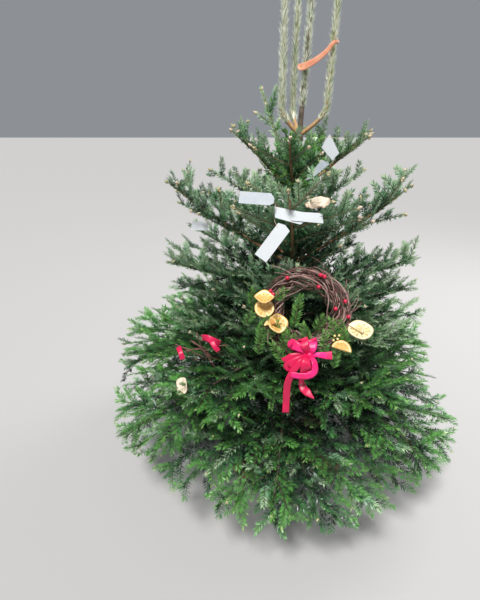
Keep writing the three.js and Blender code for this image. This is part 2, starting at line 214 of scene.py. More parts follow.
BEHIND = -0.015  # how far behind a tag or the wreath a shoot may pass

Spray = namedtuple("Spray", "t angle tilt length n own")


def spread(n):
    """A repeatable number from -1 to 1: twice the fraction of 43758.5453 sin(12.9898 n + 78.233), less 1."""
    x = np.sin(n * 12.9898 + 78.233) * 43758.5453
    return 2 * (x - np.floor(x)) - 1


def lerp(a, b, t):
    """a at t = 0 and b at t = 1, in a straight line."""
    return a + (b - a) * t


def unit(v):
    """Each vector divided by its length."""
    return v / np.maximum(np.linalg.norm(v, axis=-1, keepdims=True), 1e-12)


def dot(a, b):
    """Dot product along the last axis, which stays as an axis of one."""
    return (a * b).sum(-1, keepdims=True)


def arc(a, x, y):
    """x cos a + y sin a, with a row for each angle."""
    a = np.asarray(a, float)[..., None]
    return np.cos(a) * x + np.sin(a) * y


def turned(v, axis, angle):
    """v turned about a unit axis: v cos a + (axis x v) sin a + axis (axis . v) (1 - cos a)."""
    return arc(angle, v, np.cross(axis, v)) + axis * dot(axis, v) * (1 - np.cos(angle))


def square(v, way):
    """The part of v that is square to a unit direction, as a unit vector."""
    return unit(v - dot(v, way) * way)


def trunk_axis(z):
    """Middle of the trunk at height z: an even lean, half a wave in Y and a whole one in X."""
    z = np.asarray(z, float)
    share = np.minimum(1, (z - CUT_Z) / (LEADERS_Z - CUT_Z))
    beyond = np.maximum(0, (z - LEADERS_Z) / (TIP_Z - LEADERS_Z))
    lean = LEAN_AT_LEADERS * share + (LEAN_AT_TIP - LEAN_AT_LEADERS) * beyond
    return np.stack([lean + SWAY_X * np.sin(2 * np.pi * share), SWAY_Y * np.sin(np.pi * share), z], -1)


def trunk_radius(z):
    """Radius of the trunk at height z: a cone with a flare at the cut, and a thin cone on it."""
    share = np.clip((z - CUT_Z) / (LEADERS_Z - CUT_Z), 0, 1)
    flare = FLARE * np.exp((CUT_Z - z) / FLARE_HEIGHT)
    low = flare + lerp(CUT_RADIUS, LEADERS_RADIUS, share**TRUNK_TAPER)
    high = lerp(LEADERS_RADIUS - 0.002, TIP_RADIUS, (z - LEADERS_Z) / (TIP_Z - LEADERS_Z))
    return np.where(z > LEADERS_Z, high, low)


def leader_path(leader, t):
    """A leader's middle at t: it bends out of the trunk by a quarter of a sine wave and runs up beside it."""
    z = lerp(LEADERS_Z, leader.tip, t**RINGS_LOW)
    bend = np.sin(0.5 * np.pi * np.minimum(1, (z - LEADERS_Z) / LEADER_BEND))
    r = leader.out * bend + LEADER_SPREAD * t
    turn = math.radians(leader.azimuth)
    x, y, _ = np.moveaxis(trunk_axis(lerp(LEADERS_Z, z, 0.5)), -1, 0)
    return np.stack([x + r * math.cos(turn), y + r * math.sin(turn), z], -1)


class Bough:
    """One bough, whose path runs from the trunk's middle at t = 0 to the tip of its needles at t = 1.

    At t it is reach t out from the trunk, turned by sweep t t, and rise t + 4 arch t (1 - t) over its foot.
    """

    def __init__(self, level, i):
        whorl = WHORLS[level]
        self.whorl, self.level, self.number = whorl, level, i + 1
        self.azimuth = whorl.azimuths[i]
        self.seed = 100 * (level + 1) + 12 * i
        steep = whorl.name == STEEP_WHORL and self.number == STEEP_NUMBER
        lop = 1 - whorl.lop * math.cos(math.radians(self.azimuth))
        self.reach = whorl.reach * (1 + REACH_SPREAD * spread(self.seed)) * lop
        self.reach *= STEEP_REACH if steep else 1
        self.rise = (whorl.rise + RISE_SPREAD * spread(self.seed + 1)) * (STEEP_RISE if steep else 1)
        self.sweep = SWEEP * spread(self.seed + 2)
        self.bushy = STEEP_SPRAYS if steep else 1
        self.foot = trunk_axis(whorl.z)
        self.node = f"needles_{whorl.name}_{self.number}"
        self.first = whorl.bare or FIRST_SPRAY

    def path(self, t):
        t = np.asarray(t, float)
        turn = np.radians(self.azimuth + self.sweep * t * t)
        z = self.whorl.z + self.rise * t + 4 * self.whorl.arch * t * (1 - t)
        x, y, _ = self.foot
        return np.stack([x + self.reach * t * np.cos(turn), y + self.reach * t * np.sin(turn), z], -1)

    def radius(self, t):
        return lerp(max(BOUGH_GIRTH * self.reach, BOUGH_LEAST), BOUGH_TIP_RADIUS, t)

    def axes(self, t):
        """Direction of the path at t, and the direction over it."""
        along = unit(self.path(min(1, t + 0.002)) - self.path(max(0, t - 0.002)))
        right = unit(np.cross(self.path(1) - self.path(0), UP))
        return along, unit(np.cross(right, along))


BOUGHS = [Bough(level, i) for level, whorl in enumerate(WHORLS) for i in range(len(whorl.azimuths))]


class Rooms:
    """The space of every mass: a sector of its whorl, between the surfaces midway to its neighbour whorls."""

    level = np.array([b.level for b in BOUGHS])
    foot = np.array([b.foot for b in BOUGHS])
    rim = np.array([RIM * b.reach for b in BOUGHS])
    azimuth = np.array([b.azimuth for b in BOUGHS], float)
    rounds = [(b, b.whorl.azimuths) for b in BOUGHS]
    before = np.array([(b.azimuth - all_of[b.number - 2]) % 360 / 2 for b, all_of in rounds])
    after = np.array([(all_of[b.number % len(all_of)] - b.azimuth) % 360 / 2 for b, all_of in rounds])
    z, rise, arch, reach = (np.array([getattr(w, k) for w in WHORLS]) for k in ("z", "rise", "arch", "reach"))

    @classmethod
    def height(cls, level, r):
        """Height of a whorl's boughs at distance r from the trunk, carried on beyond their tips."""
        t = r / cls.reach[level]
        return cls.z[level] + cls.rise[level] * t + 4 * cls.arch[level] * np.minimum(t * (1 - t), 1 - t)

    @classmethod
    def hold(cls, mass, points, loose=0.0):
        """Whether each point is in its mass's space, which is made wider by loose, but less so at its rim."""
        x, y, _ = np.moveaxis(points - cls.foot[mass], -1, 0)
        r, z, level = np.hypot(x, y), points[..., 2], cls.level[mass]
        off = (np.degrees(np.arctan2(y, x)) - cls.azimuth[mass] + 180) % 360 - 180
        edge = np.minimum(np.minimum(cls.after[mass] - off, cls.before[mass] + off), 90)
        here = cls.height(level, r)
        over = (here + cls.height(np.minimum(level + 1, len(WHORLS) - 1), r)) / 2
        under = (here + cls.height(np.maximum(level - 1, 0), r)) / 2
        top = np.where(level + 1 < len(WHORLS), over, TIP_Z)
        floor = np.where(level > 0, under, LOWEST)
        margin = SPACE_MARGIN - loose
        fits = (r * np.sin(np.radians(edge)) >= margin) & (z < top - margin) & (z > floor + margin)
        fits = fits & (r < cls.rim[mass] + np.minimum(loose, RIM_LOOSE))
        return fits & ~((z > LEADERS_Z - LEADER_BEND / 2) & (r < LEADER_ROOM - loose))


class Shoots:
    """Shoots as arrays, one row each.

    A shoot leaves root along heading and bends towards over, which is made square to it. Its point at share s
    of its length is root + length (s heading + curl s s over). A single value stands for every row.
    """

    names = ("root", "heading", "over", "length", "curl", "girth", "mass", "order")

    def __init__(self, *columns):
        rows = {name: np.array(column) for name, column in zip(self.names, columns)}
        count = len(rows["root"])
        self.__dict__.update({k: v if v.ndim else np.full(count, v) for k, v in rows.items()})

    @classmethod
    def made(cls, root, heading, over, *columns):
        return cls(root, heading, square(over, heading), *columns)

    def __len__(self):
        return len(self.length)

    def point(self, s):
        s = np.broadcast_to(s, len(self))
        reach = s[:, None] * self.heading + (self.curl * s * s)[:, None] * self.over
        return self.root + self.length[:, None] * reach

    def along(self, s):
        return unit(self.heading + (2 * self.curl * s)[:, None] * self.over)

    def rows(self, index):
        return Shoots(*(getattr(self, name)[index] for name in self.names))

    @classmethod
    def joined(cls, parts):
        return cls(*(np.concatenate([getattr(p, name) for p in parts]) for name in cls.names))

    def fitted(self, loose):
        """Shortened until the middle and the tip are in their mass's space, or out of it by loose at most.

        A shoot is left out if the last try fails.
        """
        for _ in range(TRIES):
            fits = np.all([Rooms.hold(self.mass, self.point(s), loose) for s in (0.5, 1.0)], 0)
            self.length = np.where(fits, self.length, self.length * SHORTEN)
        return self.rows(fits & (self.length > LEAST_SHOOT))


def sprays_of(bough):
    """The source's own sprays of one mass, and the stems beside its borders and halfway to them."""
    whorl, level, reach, seed = bough.whorl, bough.level, bough.reach, bough.seed
    turn = SPRAY_TURN * 360 / len(whorl.azimuths)
    yield Spray(1 - TIP_SPRAY, 0, 0, TIP_SPRAY * reach, seed + 9, True)
    for k in range(whorl.pairs):
        for flank in (-1, 1):
            n = seed + 3 + k + 20 * (flank + 1)
            t = lerp(bough.first, 1, (k + PAIR_START + STAGGER * flank) / (whorl.pairs + PAIR_END))
            length = SPRAY_LEAST + SPRAY_SHARE * (1 - t) * reach
            length = length * (1 + SPRAY_SPREAD * spread(n)) * bough.bushy
            angle = flank * (turn + SPRAY_TURN_SPREAD * spread(n + 7))
            yield Spray(t, angle, TILTS[k] + TILT_SPREAD * spread(n + 14), length, n, True)
    for k in range(whorl.crests):
        t = lerp(bough.first, 1, (k + CREST_START) / (whorl.crests + CREST_END))
        angle = CREST_TURN * spread(seed + k + 70)
        yield Spray(t, angle, CREST_TILT, CREST_SHARE * reach, seed + k + 80, True)
    border = 180 / len(whorl.azimuths) + BORDER_TURN
    for flank in (-1, 1):
        if level < BORDER_WHORLS:
            length = min(BORDER_SHARE[level] * reach, BORDER_LONGEST)
            yield Spray(BORDER_START, flank * border, BORDER_TILT[level], length, seed + 60 + flank, False)
        if level < HALFWAY_WHORLS:
            angle, length = flank * HALFWAY_TURN * border, HALFWAY_SHARE * reach
            yield Spray(HALFWAY_START, angle, HALFWAY_TILT, length, seed + 64 + flank, False)


def side_shoots(mass):
    """The shoots of the first order on one bough.

    A shoot heads along the stem, turned about the direction over it and then tilted. It is tried shorter
    and nearer to the stem until it fits the mass's space: the source's own sprays with the outline of
    their blades, as there, and the added stems as slim ones.
    """
    bough = BOUGHS[mass]
    curl = bough.whorl.curl
    share, flank = np.array(BLADE).T
    rows = []
    for t, angle, tilt, length, n, own in sprays_of(bough):
        along, over = bough.axes(t)
        width = SPRAY_WIDTH * np.sin(np.pi * share**WIDEST_EARLY) * flank * (1 if own else SLIM)
        for attempt in range(TRIES):
            aside = turned(along, over, math.radians(angle * TURN_IN**attempt))
            heading = arc(math.radians(tilt), aside, over)
            across = unit(np.cross(over, heading))
            up = turned(np.cross(heading, across), heading, math.radians(ROLL) * spread(n + 30))
            root = bough.path(t) - ROOT_SUNK * heading
            size = length * SHORTEN**attempt
            lift = curl * share**2 - SAG * np.abs(width)
            blade = np.outer(share, heading) + np.outer(width, np.cross(up, heading)) + np.outer(lift, up)
            near = size * np.linalg.norm(blade, axis=1) < ROOT_NEAR
            if np.all(Rooms.hold(mass, root + size * blade, 0 if own else BORDER_LOOSE) | near):
                rows.append((root, heading, up, size, curl))
                break
    root, end = bough.path(bough.first), bough.path(STEM_END)
    rows.append((root, unit(end - root), bough.axes(0.5)[1], np.linalg.norm(end - root), 0.0))
    return Shoots(*zip(*rows), GIRTHS[0], mass, 1)


def crest_shoots(mass, step, lift, rng):
    """Short shoots along a bough, one for each step, turned sideways and tilted by a random angle in lift."""
    bough = BOUGHS[mass]
    count = int(bough.reach * (CREST_END_SHARE - bough.first) / step[bough.level])
    t = lerp(bough.first, CREST_END_SHARE, (np.arange(count) + 0.5) / count)
    along = unit(bough.path(t + 0.01) - bough.path(t - 0.01))
    right = unit(np.cross(along, UP))
    over = np.cross(right, along)
    turn = np.radians(rng.uniform(-CREST_SIDEWAYS, CREST_SIDEWAYS, count))
    heading = unit(arc(np.radians(rng.uniform(*lift, count)), arc(turn, along, right), over))
    length = rng.uniform(*CREST_LENGTH, count) * (1.15 - 0.5 * t)
    curl = rng.uniform(-0.1, 0.1, count)
    return Shoots.made(bough.path(t), heading, over, length, curl, GIRTHS[1], mass, 2)


def round_trunk(z, pitch, length, order, rng):
    """Shoots that leave the trunk at heights z, each turned on from the last by the golden angle.

    Each belongs to the mass in whose space its middle is, and is left out if there is none.
    """
    turn = np.radians(GOLDEN_TURN * np.arange(len(z)))
    out = arc(turn, np.array([1.0, 0, 0]), np.array([0, 1.0, 0]))
    heading = arc(np.radians(pitch), out, UP)
    middle = trunk_axis(z) + heading * (0.5 * length)[:, None]
    fits = np.stack([Rooms.hold(np.full(len(z), m), middle, TRUNK_LOOSE) for m in range(len(BOUGHS))])
    curl = rng.uniform(-0.05, 0.1, len(z))
    girth = GIRTHS[0] / order
    made = Shoots.made(trunk_axis(z), heading, UP, length, curl, girth, np.argmax(fits, 0), order)
    return made.rows(fits.any(0))


def trunk_shoots(rng):
    """Long shoots between the whorls, one for each TRUNK_STEP, which are steeper and shorter further up.

    The lowest whorl, which can be seen through from the side, has as many again.
    """
    z = np.concatenate([np.arange(*ends, TRUNK_STEP) for ends in (TRUNK_LOW, (TRUNK_FROM, TRUNK_TO))])
    pitch = rng.uniform(*TRUNK_PITCH, len(z)) + 25 * (z - TRUNK_FROM)
    return round_trunk(z, pitch, np.interp(z, *TRUNK_LENGTH) * rng.uniform(0.8, 1.1, len(z)), 1, rng)


def brush_shoots(rng):
    """The brush of short upright shoots round the trunk under the leaders."""
    z = np.linspace(BRUSH_FROM, BRUSH_TO, BRUSH_SHOOTS)
    pitch = rng.uniform(*BRUSH_PITCH, len(z))
    return round_trunk(z, pitch, np.interp(z, *BRUSH_LENGTH) * rng.uniform(0.85, 1.1, len(z)), 2, rng)


def of_whorl(values, shoots):
    """The value of each shoot's whorl."""
    return np.array(values)[Rooms.level[shoots.mass]]


def counted(counts):
    """The row and the place in it of every item, where each row has its count of items."""
    index = np.repeat(np.arange(len(counts)), counts)
    return index, np.arange(len(index)) - np.repeat(np.cumsum(counts) - counts, counts)


def forked(parents, ends, rng):
    """Side shoots in pairs along every parent, shorter towards its tip.

    A parent has a pair for each FORK_STEP between the shares in ends. A side shoot at share s is as long as
    FORK_SHARE (1 - s) of its parent and FORK_LEAST. It is turned by FORK_ANGLE in the parent's plane, tilted
    out of that plane by a random angle about FORK_LIFT, or by FORK_RAISE more, and pulled down by FORK_DROOP.
    """
    first, last = ends
    pairs = np.floor(parents.length * (last - first) / of_whorl(FORK_STEP, parents)).astype(int)
    index, place = counted(2 * pairs)
    flank = np.where(place % 2, 1.0, -1.0)
    s = first + (last - first) * (place // 2 + 0.5 + 0.2 * flank) / pairs[index]
    stem = parents.rows(index)
    along = stem.along(s)
    across = unit(np.cross(stem.over, along))
    over = np.cross(along, across)
    turn = np.radians(FORK_ANGLE * (1 + 0.2 * rng.uniform(-1, 1, len(s))))
    raised = FORK_RAISE * (rng.random(len(s)) < FORK_RAISED)
    tilt = np.radians(of_whorl(FORK_LIFT, stem) + raised + rng.normal(0, 11, len(s)))
    droop = of_whorl(FORK_DROOP, stem)
    heading = unit(arc(tilt, arc(flank * turn, along, across), over) - droop[:, None] * UP)
    length = stem.length * FORK_SHARE * (1 - s) + of_whorl(FORK_LEAST, stem)
    length = length * (1 + 0.2 * rng.uniform(-1, 1, len(s)))
    curl = rng.uniform(-0.05, 0.05, len(s)) - droop * 0.5
    girth = np.array(GIRTHS)[stem.order]
    made = Shoots.made(stem.point(s), heading, over, length, curl, girth, stem.mass, stem.order + 1)
    return made.fitted(of_whorl(FORK_LOOSE, stem))


def outness(shoots, s=0.8):
    """How far out the shoots are at share s: 0 at the trunk and 1 at the tips of their whorl's boughs."""
    x, y, _ = (shoots.point(s) - Rooms.foot[shoots.mass]).T
    return np.hypot(x, y) / of_whorl(Rooms.reach, shoots)


def spaced(shoots):
    """One shoot out of all whose outer part is in the same cell of a grid, which is wider near the trunk."""
    outside = outness(shoots) > SHELL_FROM
    kept = []
    for part, cell in ((shoots.rows(outside), SHELL_CELL), (shoots.rows(~outside), CORE_CELL)):
        place = np.floor(part.point(0.65) / cell).astype(int)
        _, first = np.unique(place, axis=0, return_index=True)
        kept.append(part.rows(np.sort(first)))
    return Shoots.joined(kept)


def uncovered(shoots):
    """The shoots that aren't in front of the wreath's upper part, of the ribbon's end or of a tag.

    Each of those is a rectangle in its own frame, between two radii.
    """
    clear = np.ones(len(shoots), bool)
    fronts = [(WREATH, WREATH_CENTRE, *corners) for corners in WREATH_SEEN]
    for tag in TAGS:
        corners = metres(tag.corners)
        rows = facing(tag.yaw, tag.pitch, tag.roll)
        fronts.append((rows, metres(tag.middle), corners.min(0), corners.max(0), (0, 1)))
    for rows, centre, low, high, (inner, outer) in fronts:
        for s in (0.4, 0.7, 1.0):
            place = (shoots.point(s) - np.array(centre)) @ rows.T
            flat, r = place[:, :2], np.hypot(place[:, 0], place[:, 1])
            inside = np.all((flat > low) & (flat < high), 1) & (r > inner) & (r < outer)
            clear &= ~(inside & (place[:, 2] > BEHIND))
    return shoots.rows(clear)


def grown():
    """All shoots of the crown: first order by the source's rule, then two orders of finer ones on those.

    The finer ones are spaced out, and more so near the trunk, where they don't show.
    """
    rng = np.random.default_rng(11)
    masses = range(len(BOUGHS))
    lowest = [mass for mass in masses if BOUGHS[mass].level == 0]
    steep = [mass for mass in masses if BOUGHS[mass].bushy < 1]
    first = uncovered(Shoots.joined([side_shoots(mass) for mass in masses] + [trunk_shoots(rng)]))
    short = [crest_shoots(mass, CREST_STEP, CREST_LIFT, rng) for mass in masses]
    short += [crest_shoots(mass, HANGING_STEP, HANGING_LIFT, rng) for mass in lowest]
    pairs = forked(first.rows(~np.isin(first.mass, steep)), SECOND_ON, rng)
    second = spaced(uncovered(Shoots.joined([pairs, Shoots.joined(short).fitted(CREST_LOOSE)])))
    third = uncovered(forked(second.rows(second.length > THIRD_FROM), THIRD_ON, rng))
    return Shoots.joined([first, brush_shoots(rng), spaced(Shoots.joined([second, third]))])


class Mesh:
    """Vertices and faces that are gathered from several shapes and put into one piece."""

    def __init__(self):
        self.points, self.blocks, self.count = [], [], 0

    def add(self, points, *blocks, smooth=True):
        """A block is faces that count from the shape's own first vertex, and one material or one for each."""
        points = np.asarray(points, float).reshape(-1, 3)
        for faces, material in blocks:
            count = len(faces)
            self.blocks.append((faces + self.count, np.broadcast_to(material, count), np.full(count, smooth)))
        self.points.append(points)
        self.count += len(points)

    def piece(self, name, materials, slot=None, replaces=()):
        """Makes the object, which rides on the tree's body."""
        faces, numbers, smooth = zip(*self.blocks)
        loops = np.concatenate([block.ravel() for block in faces]).astype(np.int32)
        sizes = np.concatenate([np.full(len(block), block.shape[1]) for block in faces])
        data = bpy.data.meshes.new(name)
        data.vertices.add(self.count)
        data.vertices.foreach_set("co", np.concatenate(self.points).astype(np.float32).ravel())
        data.loops.add(len(loops))
        data.loops.foreach_set("vertex_index", loops)
        data.polygons.add(len(sizes))
        data.polygons.foreach_set("loop_start", (np.cumsum(sizes) - sizes).astype(np.int32))
        data.polygons.foreach_set("material_index", np.concatenate(numbers).astype(np.int32))
        data.polygons.foreach_set("use_smooth", np.concatenate(smooth))
        data.update(calc_edges=True)
        for material in materials:
            data.materials.append(material)
        made = bpy.data.objects.new(name, data)
        bpy.context.scene.collection.objects.link(made)
        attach(made, BODY)
        if replaces:
            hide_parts(*replaces)


def loft(rings):
    """Closed shells. rings is (shells, rings, sides, 3), and each end is closed by a fan round its middle."""
    count, length, sides, _ = rings.shape
    points = np.concatenate([rings.reshape(count, length * sides, 3), rings[:, [0, -1]].mean(2)], 1)
    i, j = np.meshgrid(np.arange(length - 1), np.arange(sides), indexing="ij")
    a, b = i * sides + j, i * sides + (j + 1) % sides
    quads = np.stack([a, b, b + sides, a + sides], -1).reshape(-1, 4)
    j = np.arange(sides)
    last = (length - 1) * sides
    start = np.stack([np.full(sides, length * sides), (j + 1) % sides, j], -1)
    end = np.stack([np.full(sides, length * sides + 1), last + j, last + (j + 1) % sides], -1)
    step = (length * sides + 2) * np.arange(count)[:, None, None]
    return points, (quads + step).reshape(-1, 4), (np.concatenate([start, end]) + step).reshape(-1, 3)


def add_loft(mesh, rings, material=0, ends=None, smooth=True):
    """Adds closed shells to a mesh: walls with one material or one for each face, and then their ends."""
    points, quads, fans = loft(rings)
    mesh.add(points, (quads, material), (fans, material if ends is None else ends), smooth=smooth)


def around(sides):
    """Angles of the points of a ring."""
    return 2 * np.pi * np.arange(sides) / sides


def tube_rings(paths, radii, sides, over):
    """Rings of tubes. paths is (tubes, rings, 3), radii fits (tubes, rings), and over is the side that is up.

    Point j of a ring is its middle + radius (sin a right + cos a up), with a = 2 pi j / sides.
    """
    along = unit(np.gradient(paths, axis=1))
    right = unit(np.cross(along, np.broadcast_to(over, (len(paths), 3))[:, None]))
    ring = arc(around(sides), np.cross(right, along)[:, :, None], right[:, :, None])
    return paths[:, :, None] + np.broadcast_to(radii, paths.shape[:2])[:, :, None, None] * ring


def metres(rows):
    """An array in metres, of the rows of a table in millimetres."""
    return np.array(rows, float) / 1000


def on_wreath(points):
    """Places in the frame of points on the wreath."""
    return placed(points, WREATH, WREATH_CENTRE)


def add_ribbon(mesh, path, across, width, widths, crown, tone, thickness=0.0007):
    """A ribbon along a path: a flat profile, raised by crown in the middle, of changing width."""
    along = unit(np.gradient(path, axis=0))
    across = square(across, along)
    up = np.cross(across, along)
    x = np.linspace(-1, 1, 6)
    x, side = np.concatenate([x, x[::-1]]), np.repeat([0.5, -0.5], 6)
    lift = crown * (1 - x**2) + thickness * side
    half = width * np.interp(np.linspace(0, 1, len(path)), np.linspace(0, 1, len(widths)), widths) / 2
    flat = half[:, None, None] * x[:, None] * across[:, None]
    add_loft(mesh, (path[:, None] + flat + lift[:, None] * up[:, None])[None], tone)


def smooth_path(points, count):
    """A Catmull-Rom curve through the points: count places that are evenly spread over its parameter."""
    p = np.array(points, float)
    p = np.concatenate([2 * p[:1] - p[1:2], p, 2 * p[-1:] - p[-2:-1]])
    u = np.linspace(0, len(points) - 1 - 1e-9, count)
    k = u.astype(int)
    t = (u - k)[:, None]
    a, b, c, d = (p[k + n] for n in range(4))
    return b + 0.5 * t * (c - a + t * (2 * a - 5 * b + 4 * c - d + t * (3 * (b - c) + d - a)))


def facing(yaw, pitch, roll=0.0):
    """Rows right, up and out of a thing that faces -Y at yaw 0 and is tilted back by pitch, in degrees."""
    y, p, r = np.radians((yaw, pitch, roll))
    right = np.array([np.cos(y), np.sin(y), 0])
    out = np.array([np.sin(y) * np.cos(p), -np.cos(y) * np.cos(p), np.sin(p)])
    up = np.cross(out, right)
    return np.stack([arc(r, right, up), arc(r, up, -right), out])


def placed(points, frame_rows, centre):
    """Local points (right, up, out) in the frame with those rows, from its centre."""
    return np.asarray(points, float) @ frame_rows + np.asarray(centre, float)


class Wire:
    """An output socket of a material's nodes, on which + and * add Math nodes."""

    def __init__(self, finish, socket):
        self.finish, self.socket = finish, socket

    def __add__(self, other):
        return self.finish.node("ShaderNodeMath", {"operation": "ADD"}, (self, other))

    def __mul__(self, other):
        return self.finish.node("ShaderNodeMath", {"operation": "MULTIPLY"}, (self, other))


class Finish:
    """A material with one Principled shader. Values that are the same all over are set on its own sockets."""

    def __init__(self, name, colour, **values):
        self.material = bpy.data.materials.new(name)
        self.material.use_nodes = True
        self.material.diffuse_color = (*colour, 1)
        self.tree = self.material.node_tree
        self.shader = self.tree.nodes["Principled BSDF"]
        self.feed(Base_Color=tuple(colour), **values)

    def _set(self, socket, value):
        if isinstance(value, Wire):
            self.tree.links.new(value.socket, socket)
        elif isinstance(value, tuple) and socket.type == "RGBA":
            socket.default_value = (*value, 1)
        else:
            socket.default_value = value

    def node(self, kind, settings=None, inputs=(), output=0):
        """One node: its settings first, then its sockets, by place in a tuple or by key in a dict."""
        made = self.tree.nodes.new(kind)
        for key, value in (settings or {}).items():
            setattr(made, key, value)
        for key, value in inputs.items() if isinstance(inputs, dict) else enumerate(inputs):
            self._set(made.inputs[key], value)
        return Wire(self, made.outputs[output])

    def place(self, turn=0.0):
        """Object coordinates, turned about Z."""
        where = self.node("ShaderNodeTexCoord", output="Object")
        return self.node("ShaderNodeMapping", {}, {"Vector": where, "Rotation": (0, 0, turn)})

    def stretched(self, where, scale):
        return self.node("ShaderNodeVectorMath", {"operation": "MULTIPLY"}, (where, scale))

    def noise(self, vector, scale, detail=4.0, roughness=0.55, distortion=0.0):
        inputs = {"Vector": vector, "Scale": scale, "Detail": detail, "Roughness": roughness}
        return self.node("ShaderNodeTexNoise", {}, {**inputs, "Distortion": distortion})

    def ramp(self, value, *stops):
        """Colours at their places along the value, from pairs of place and colour."""
        made = self.node("ShaderNodeValToRGB", {}, (value,))
        elements = made.socket.node.color_ramp.elements
        while len(elements) < len(stops):
            elements.new(1)
        for element, (place, colour) in zip(elements, stops):
            element.position = place
            element.color = (*colour, 1)
        return made

    def mixed(self, factor, a, b):
        """Colours a and b mixed by a factor. Places 6 and 7 of the node are its colours."""
        return self.node("ShaderNodeMix", {"data_type": "RGBA"}, {"Factor": factor, 6: a, 7: b}, 2)

    def feed(self, **links):
        for key, value in links.items():
            self._set(self.shader.inputs[key.replace("_", " ")], value)

    def bumped(self, height, strength, distance):
        """The material, with relief."""
        inputs = {"Height": height, "Strength": strength, "Distance": distance}
        self.feed(Normal=self.node("ShaderNodeBump", {}, inputs))
        return self.material


def bark_finish(name, dark, light, moss, scale):
    """Bark: streaks along the wood, blotches of a paler tone, and fine lengthwise relief."""
    finish = Finish(name, light, Roughness=0.85)
    where = finish.place()
    blotch = finish.noise(where, scale, 5.0, 0.6)
    fine = finish.noise(where, scale * 9, 6.0, 0.7, 0.6)
    base = finish.ramp(blotch, (0.36, dark), (0.66, light))
    patches = finish.noise(where, scale * 0.4, 3.0)
    green = finish.node("ShaderNodeMapRange", {}, (patches, 0.5, 0.66, 0.0, 0.6))
    speckled = finish.mixed(fine * 0.55, base, dark)
    finish.feed(Base_Color=finish.mixed(green, speckled, moss), Roughness=fine * 0.25 + 0.68)
    return finish.bumped(fine * 0.6 + blotch * 0.4, 0.5, 0.002)


def timber_finish(name, turn):
    """Planed softwood with its grain along X once turned: stretched noise for rings, and fine dark fibres."""
    finish = Finish(name, (0.5, 0.34, 0.18), Roughness=0.6)
    where = finish.place(turn)
    warp = finish.noise(finish.stretched(where, (1.6, 24, 24)), 1.0, 3.0, 0.5, 1.6)
    rings = finish.node("ShaderNodeMath", {"operation": "PINGPONG"}, (warp * 9.0, 1.0))
    fibres = finish.noise(finish.stretched(where, (9, 420, 420)), 1.0, 2.0, 0.6)
    base = finish.ramp(rings, (0.0, (0.36, 0.26, 0.15)), (0.7, (0.3, 0.2, 0.11)), (1.0, (0.2, 0.12, 0.06)))
    worn = finish.mixed(fibres * 0.35, base, (0.27, 0.16, 0.08))
    finish.feed(Base_Color=worn, Roughness=fibres * 0.3 + 0.45)
    return finish.bumped(fibres * 0.5 + rings * 0.5, 0.35, 0.0006)


def plain(name, colour, roughness):
    """A material of one base colour."""
    return Finish(name, colour, Roughness=roughness).material


def tones(prefix, colours, roughness):
    """Plain materials, one for each named colour, for pieces whose tones are dealt out from face to face."""
    return [plain(f"{prefix}_{name}", colour, roughness) for name, colour in colours.items()]


class TreeSizes(bpy.types.PropertyGroup):
    """Sizes that a user may change before the pieces are made."""

    needle_length: bpy.props.FloatProperty(
        name="Needle length", description="Length of a full-grown needle", default=0.024, unit="LENGTH"
    )
    needle_width: bpy.props.FloatProperty(
        name="Needle width", description="Width of a needle in its middle", default=0.0033, unit="LENGTH"
    )
    needle_step: bpy.props.FloatProperty(
        name="Needle spacing", description="Length of shoot for each needle", default=0.00113, unit="LENGTH"
    )
    ribbon_width: bpy.props.FloatProperty(
        name="Ribbon width", description="Width of the red ribbon", default=0.025, unit="LENGTH"
    )


class TreeColours(bpy.types.PropertyGroup):
    """Colours that a user may change before the pieces are made."""

    ribbon: bpy.props.FloatVectorProperty(
        name="Ribbon",
        description="Colour of the satin ribbon",
        default=(0.58, 0.003, 0.064),
        size=3,
        subtype="COLOR",
    )
    paper: bpy.props.FloatVectorProperty(
        name="Tags",
        description="Colour of the blank tags",
        default=(0.46, 0.48, 0.49),
        size=3,
        subtype="COLOR",
    )


# Greens by name, as (red, green, blue), from painted shade inside the crown to painted light on its rim's tips
GREENS = {
    "shade": (0.005, 0.018, 0.008),
    "deep": (0.012, 0.05, 0.018),
    "blue": (0.04, 0.125, 0.06),
    "mid": (0.036, 0.125, 0.036),
    "leaf": (0.05, 0.16, 0.042),
    "fresh": (0.085, 0.25, 0.05),
    "bright": (0.17, 0.36, 0.085),
    "grey": (0.13, 0.26, 0.135),
    "olive": (0.18, 0.23, 0.1),
    "straw": (0.3, 0.4, 0.15),
    "silver": (0.27, 0.39, 0.225),
    "sage": (0.64, 0.67, 0.49),
    "pale": (0.9, 0.92, 0.78),
}
GREEN = {name: number for number, name in enumerate(GREENS)}
# Greens of each whorl, and last of the brush round the trunk, from painted shade to painted light
WHORL_GREENS = (
    ("shade", "shade", "deep", "mid", "leaf", "fresh"),
    ("shade", "shade", "deep", "mid", "leaf", "fresh"),
    ("shade", "shade", "deep", "mid", "leaf", "silver"),
    ("shade", "shade", "blue", "mid", "grey", "silver"),
    ("deep", "deep", "mid", "grey", "grey", "silver"),
    ("deep", "mid", "leaf", "fresh", "grey", "silver"),
    ("mid", "leaf", "fresh", "fresh", "bright", "bright"),
)
GREYED = 0.34  # share of lower whorls' shoots painted silvery: the needles' wax, and painted sheen
STEM_NEEDLES = 0.45  # share of the needles that a stem keeps where its side shoots hide them
STEM_NEEDLES_TO = 0.8
NEEDLE_ROUND = 118  # degrees from a shoot's upper side to the lowest needles
NEEDLE_ANGLES = (34, 56)  # degrees from the shoot's direction, of the needles on top and at its sides
# The wide needles inside mostly take the darkest greens: dark painted shade that fills the inside of the crown
NEEDLE_WIDER = 2.4  # how much wider a needle is inside, to make up for their number
NEEDLE_STEPS = (1.26, 1.06, 1, 1, 0.92, 0.92)  # times the spacing of the needles, for each whorl
NEEDLE_STEP_INSIDE = 5  # times the spacing of the needles outside
INSIDE_FROM = 0.3  # share of its whorl's reach from which a place is no longer quite inside
INSIDE_TO = 0.6
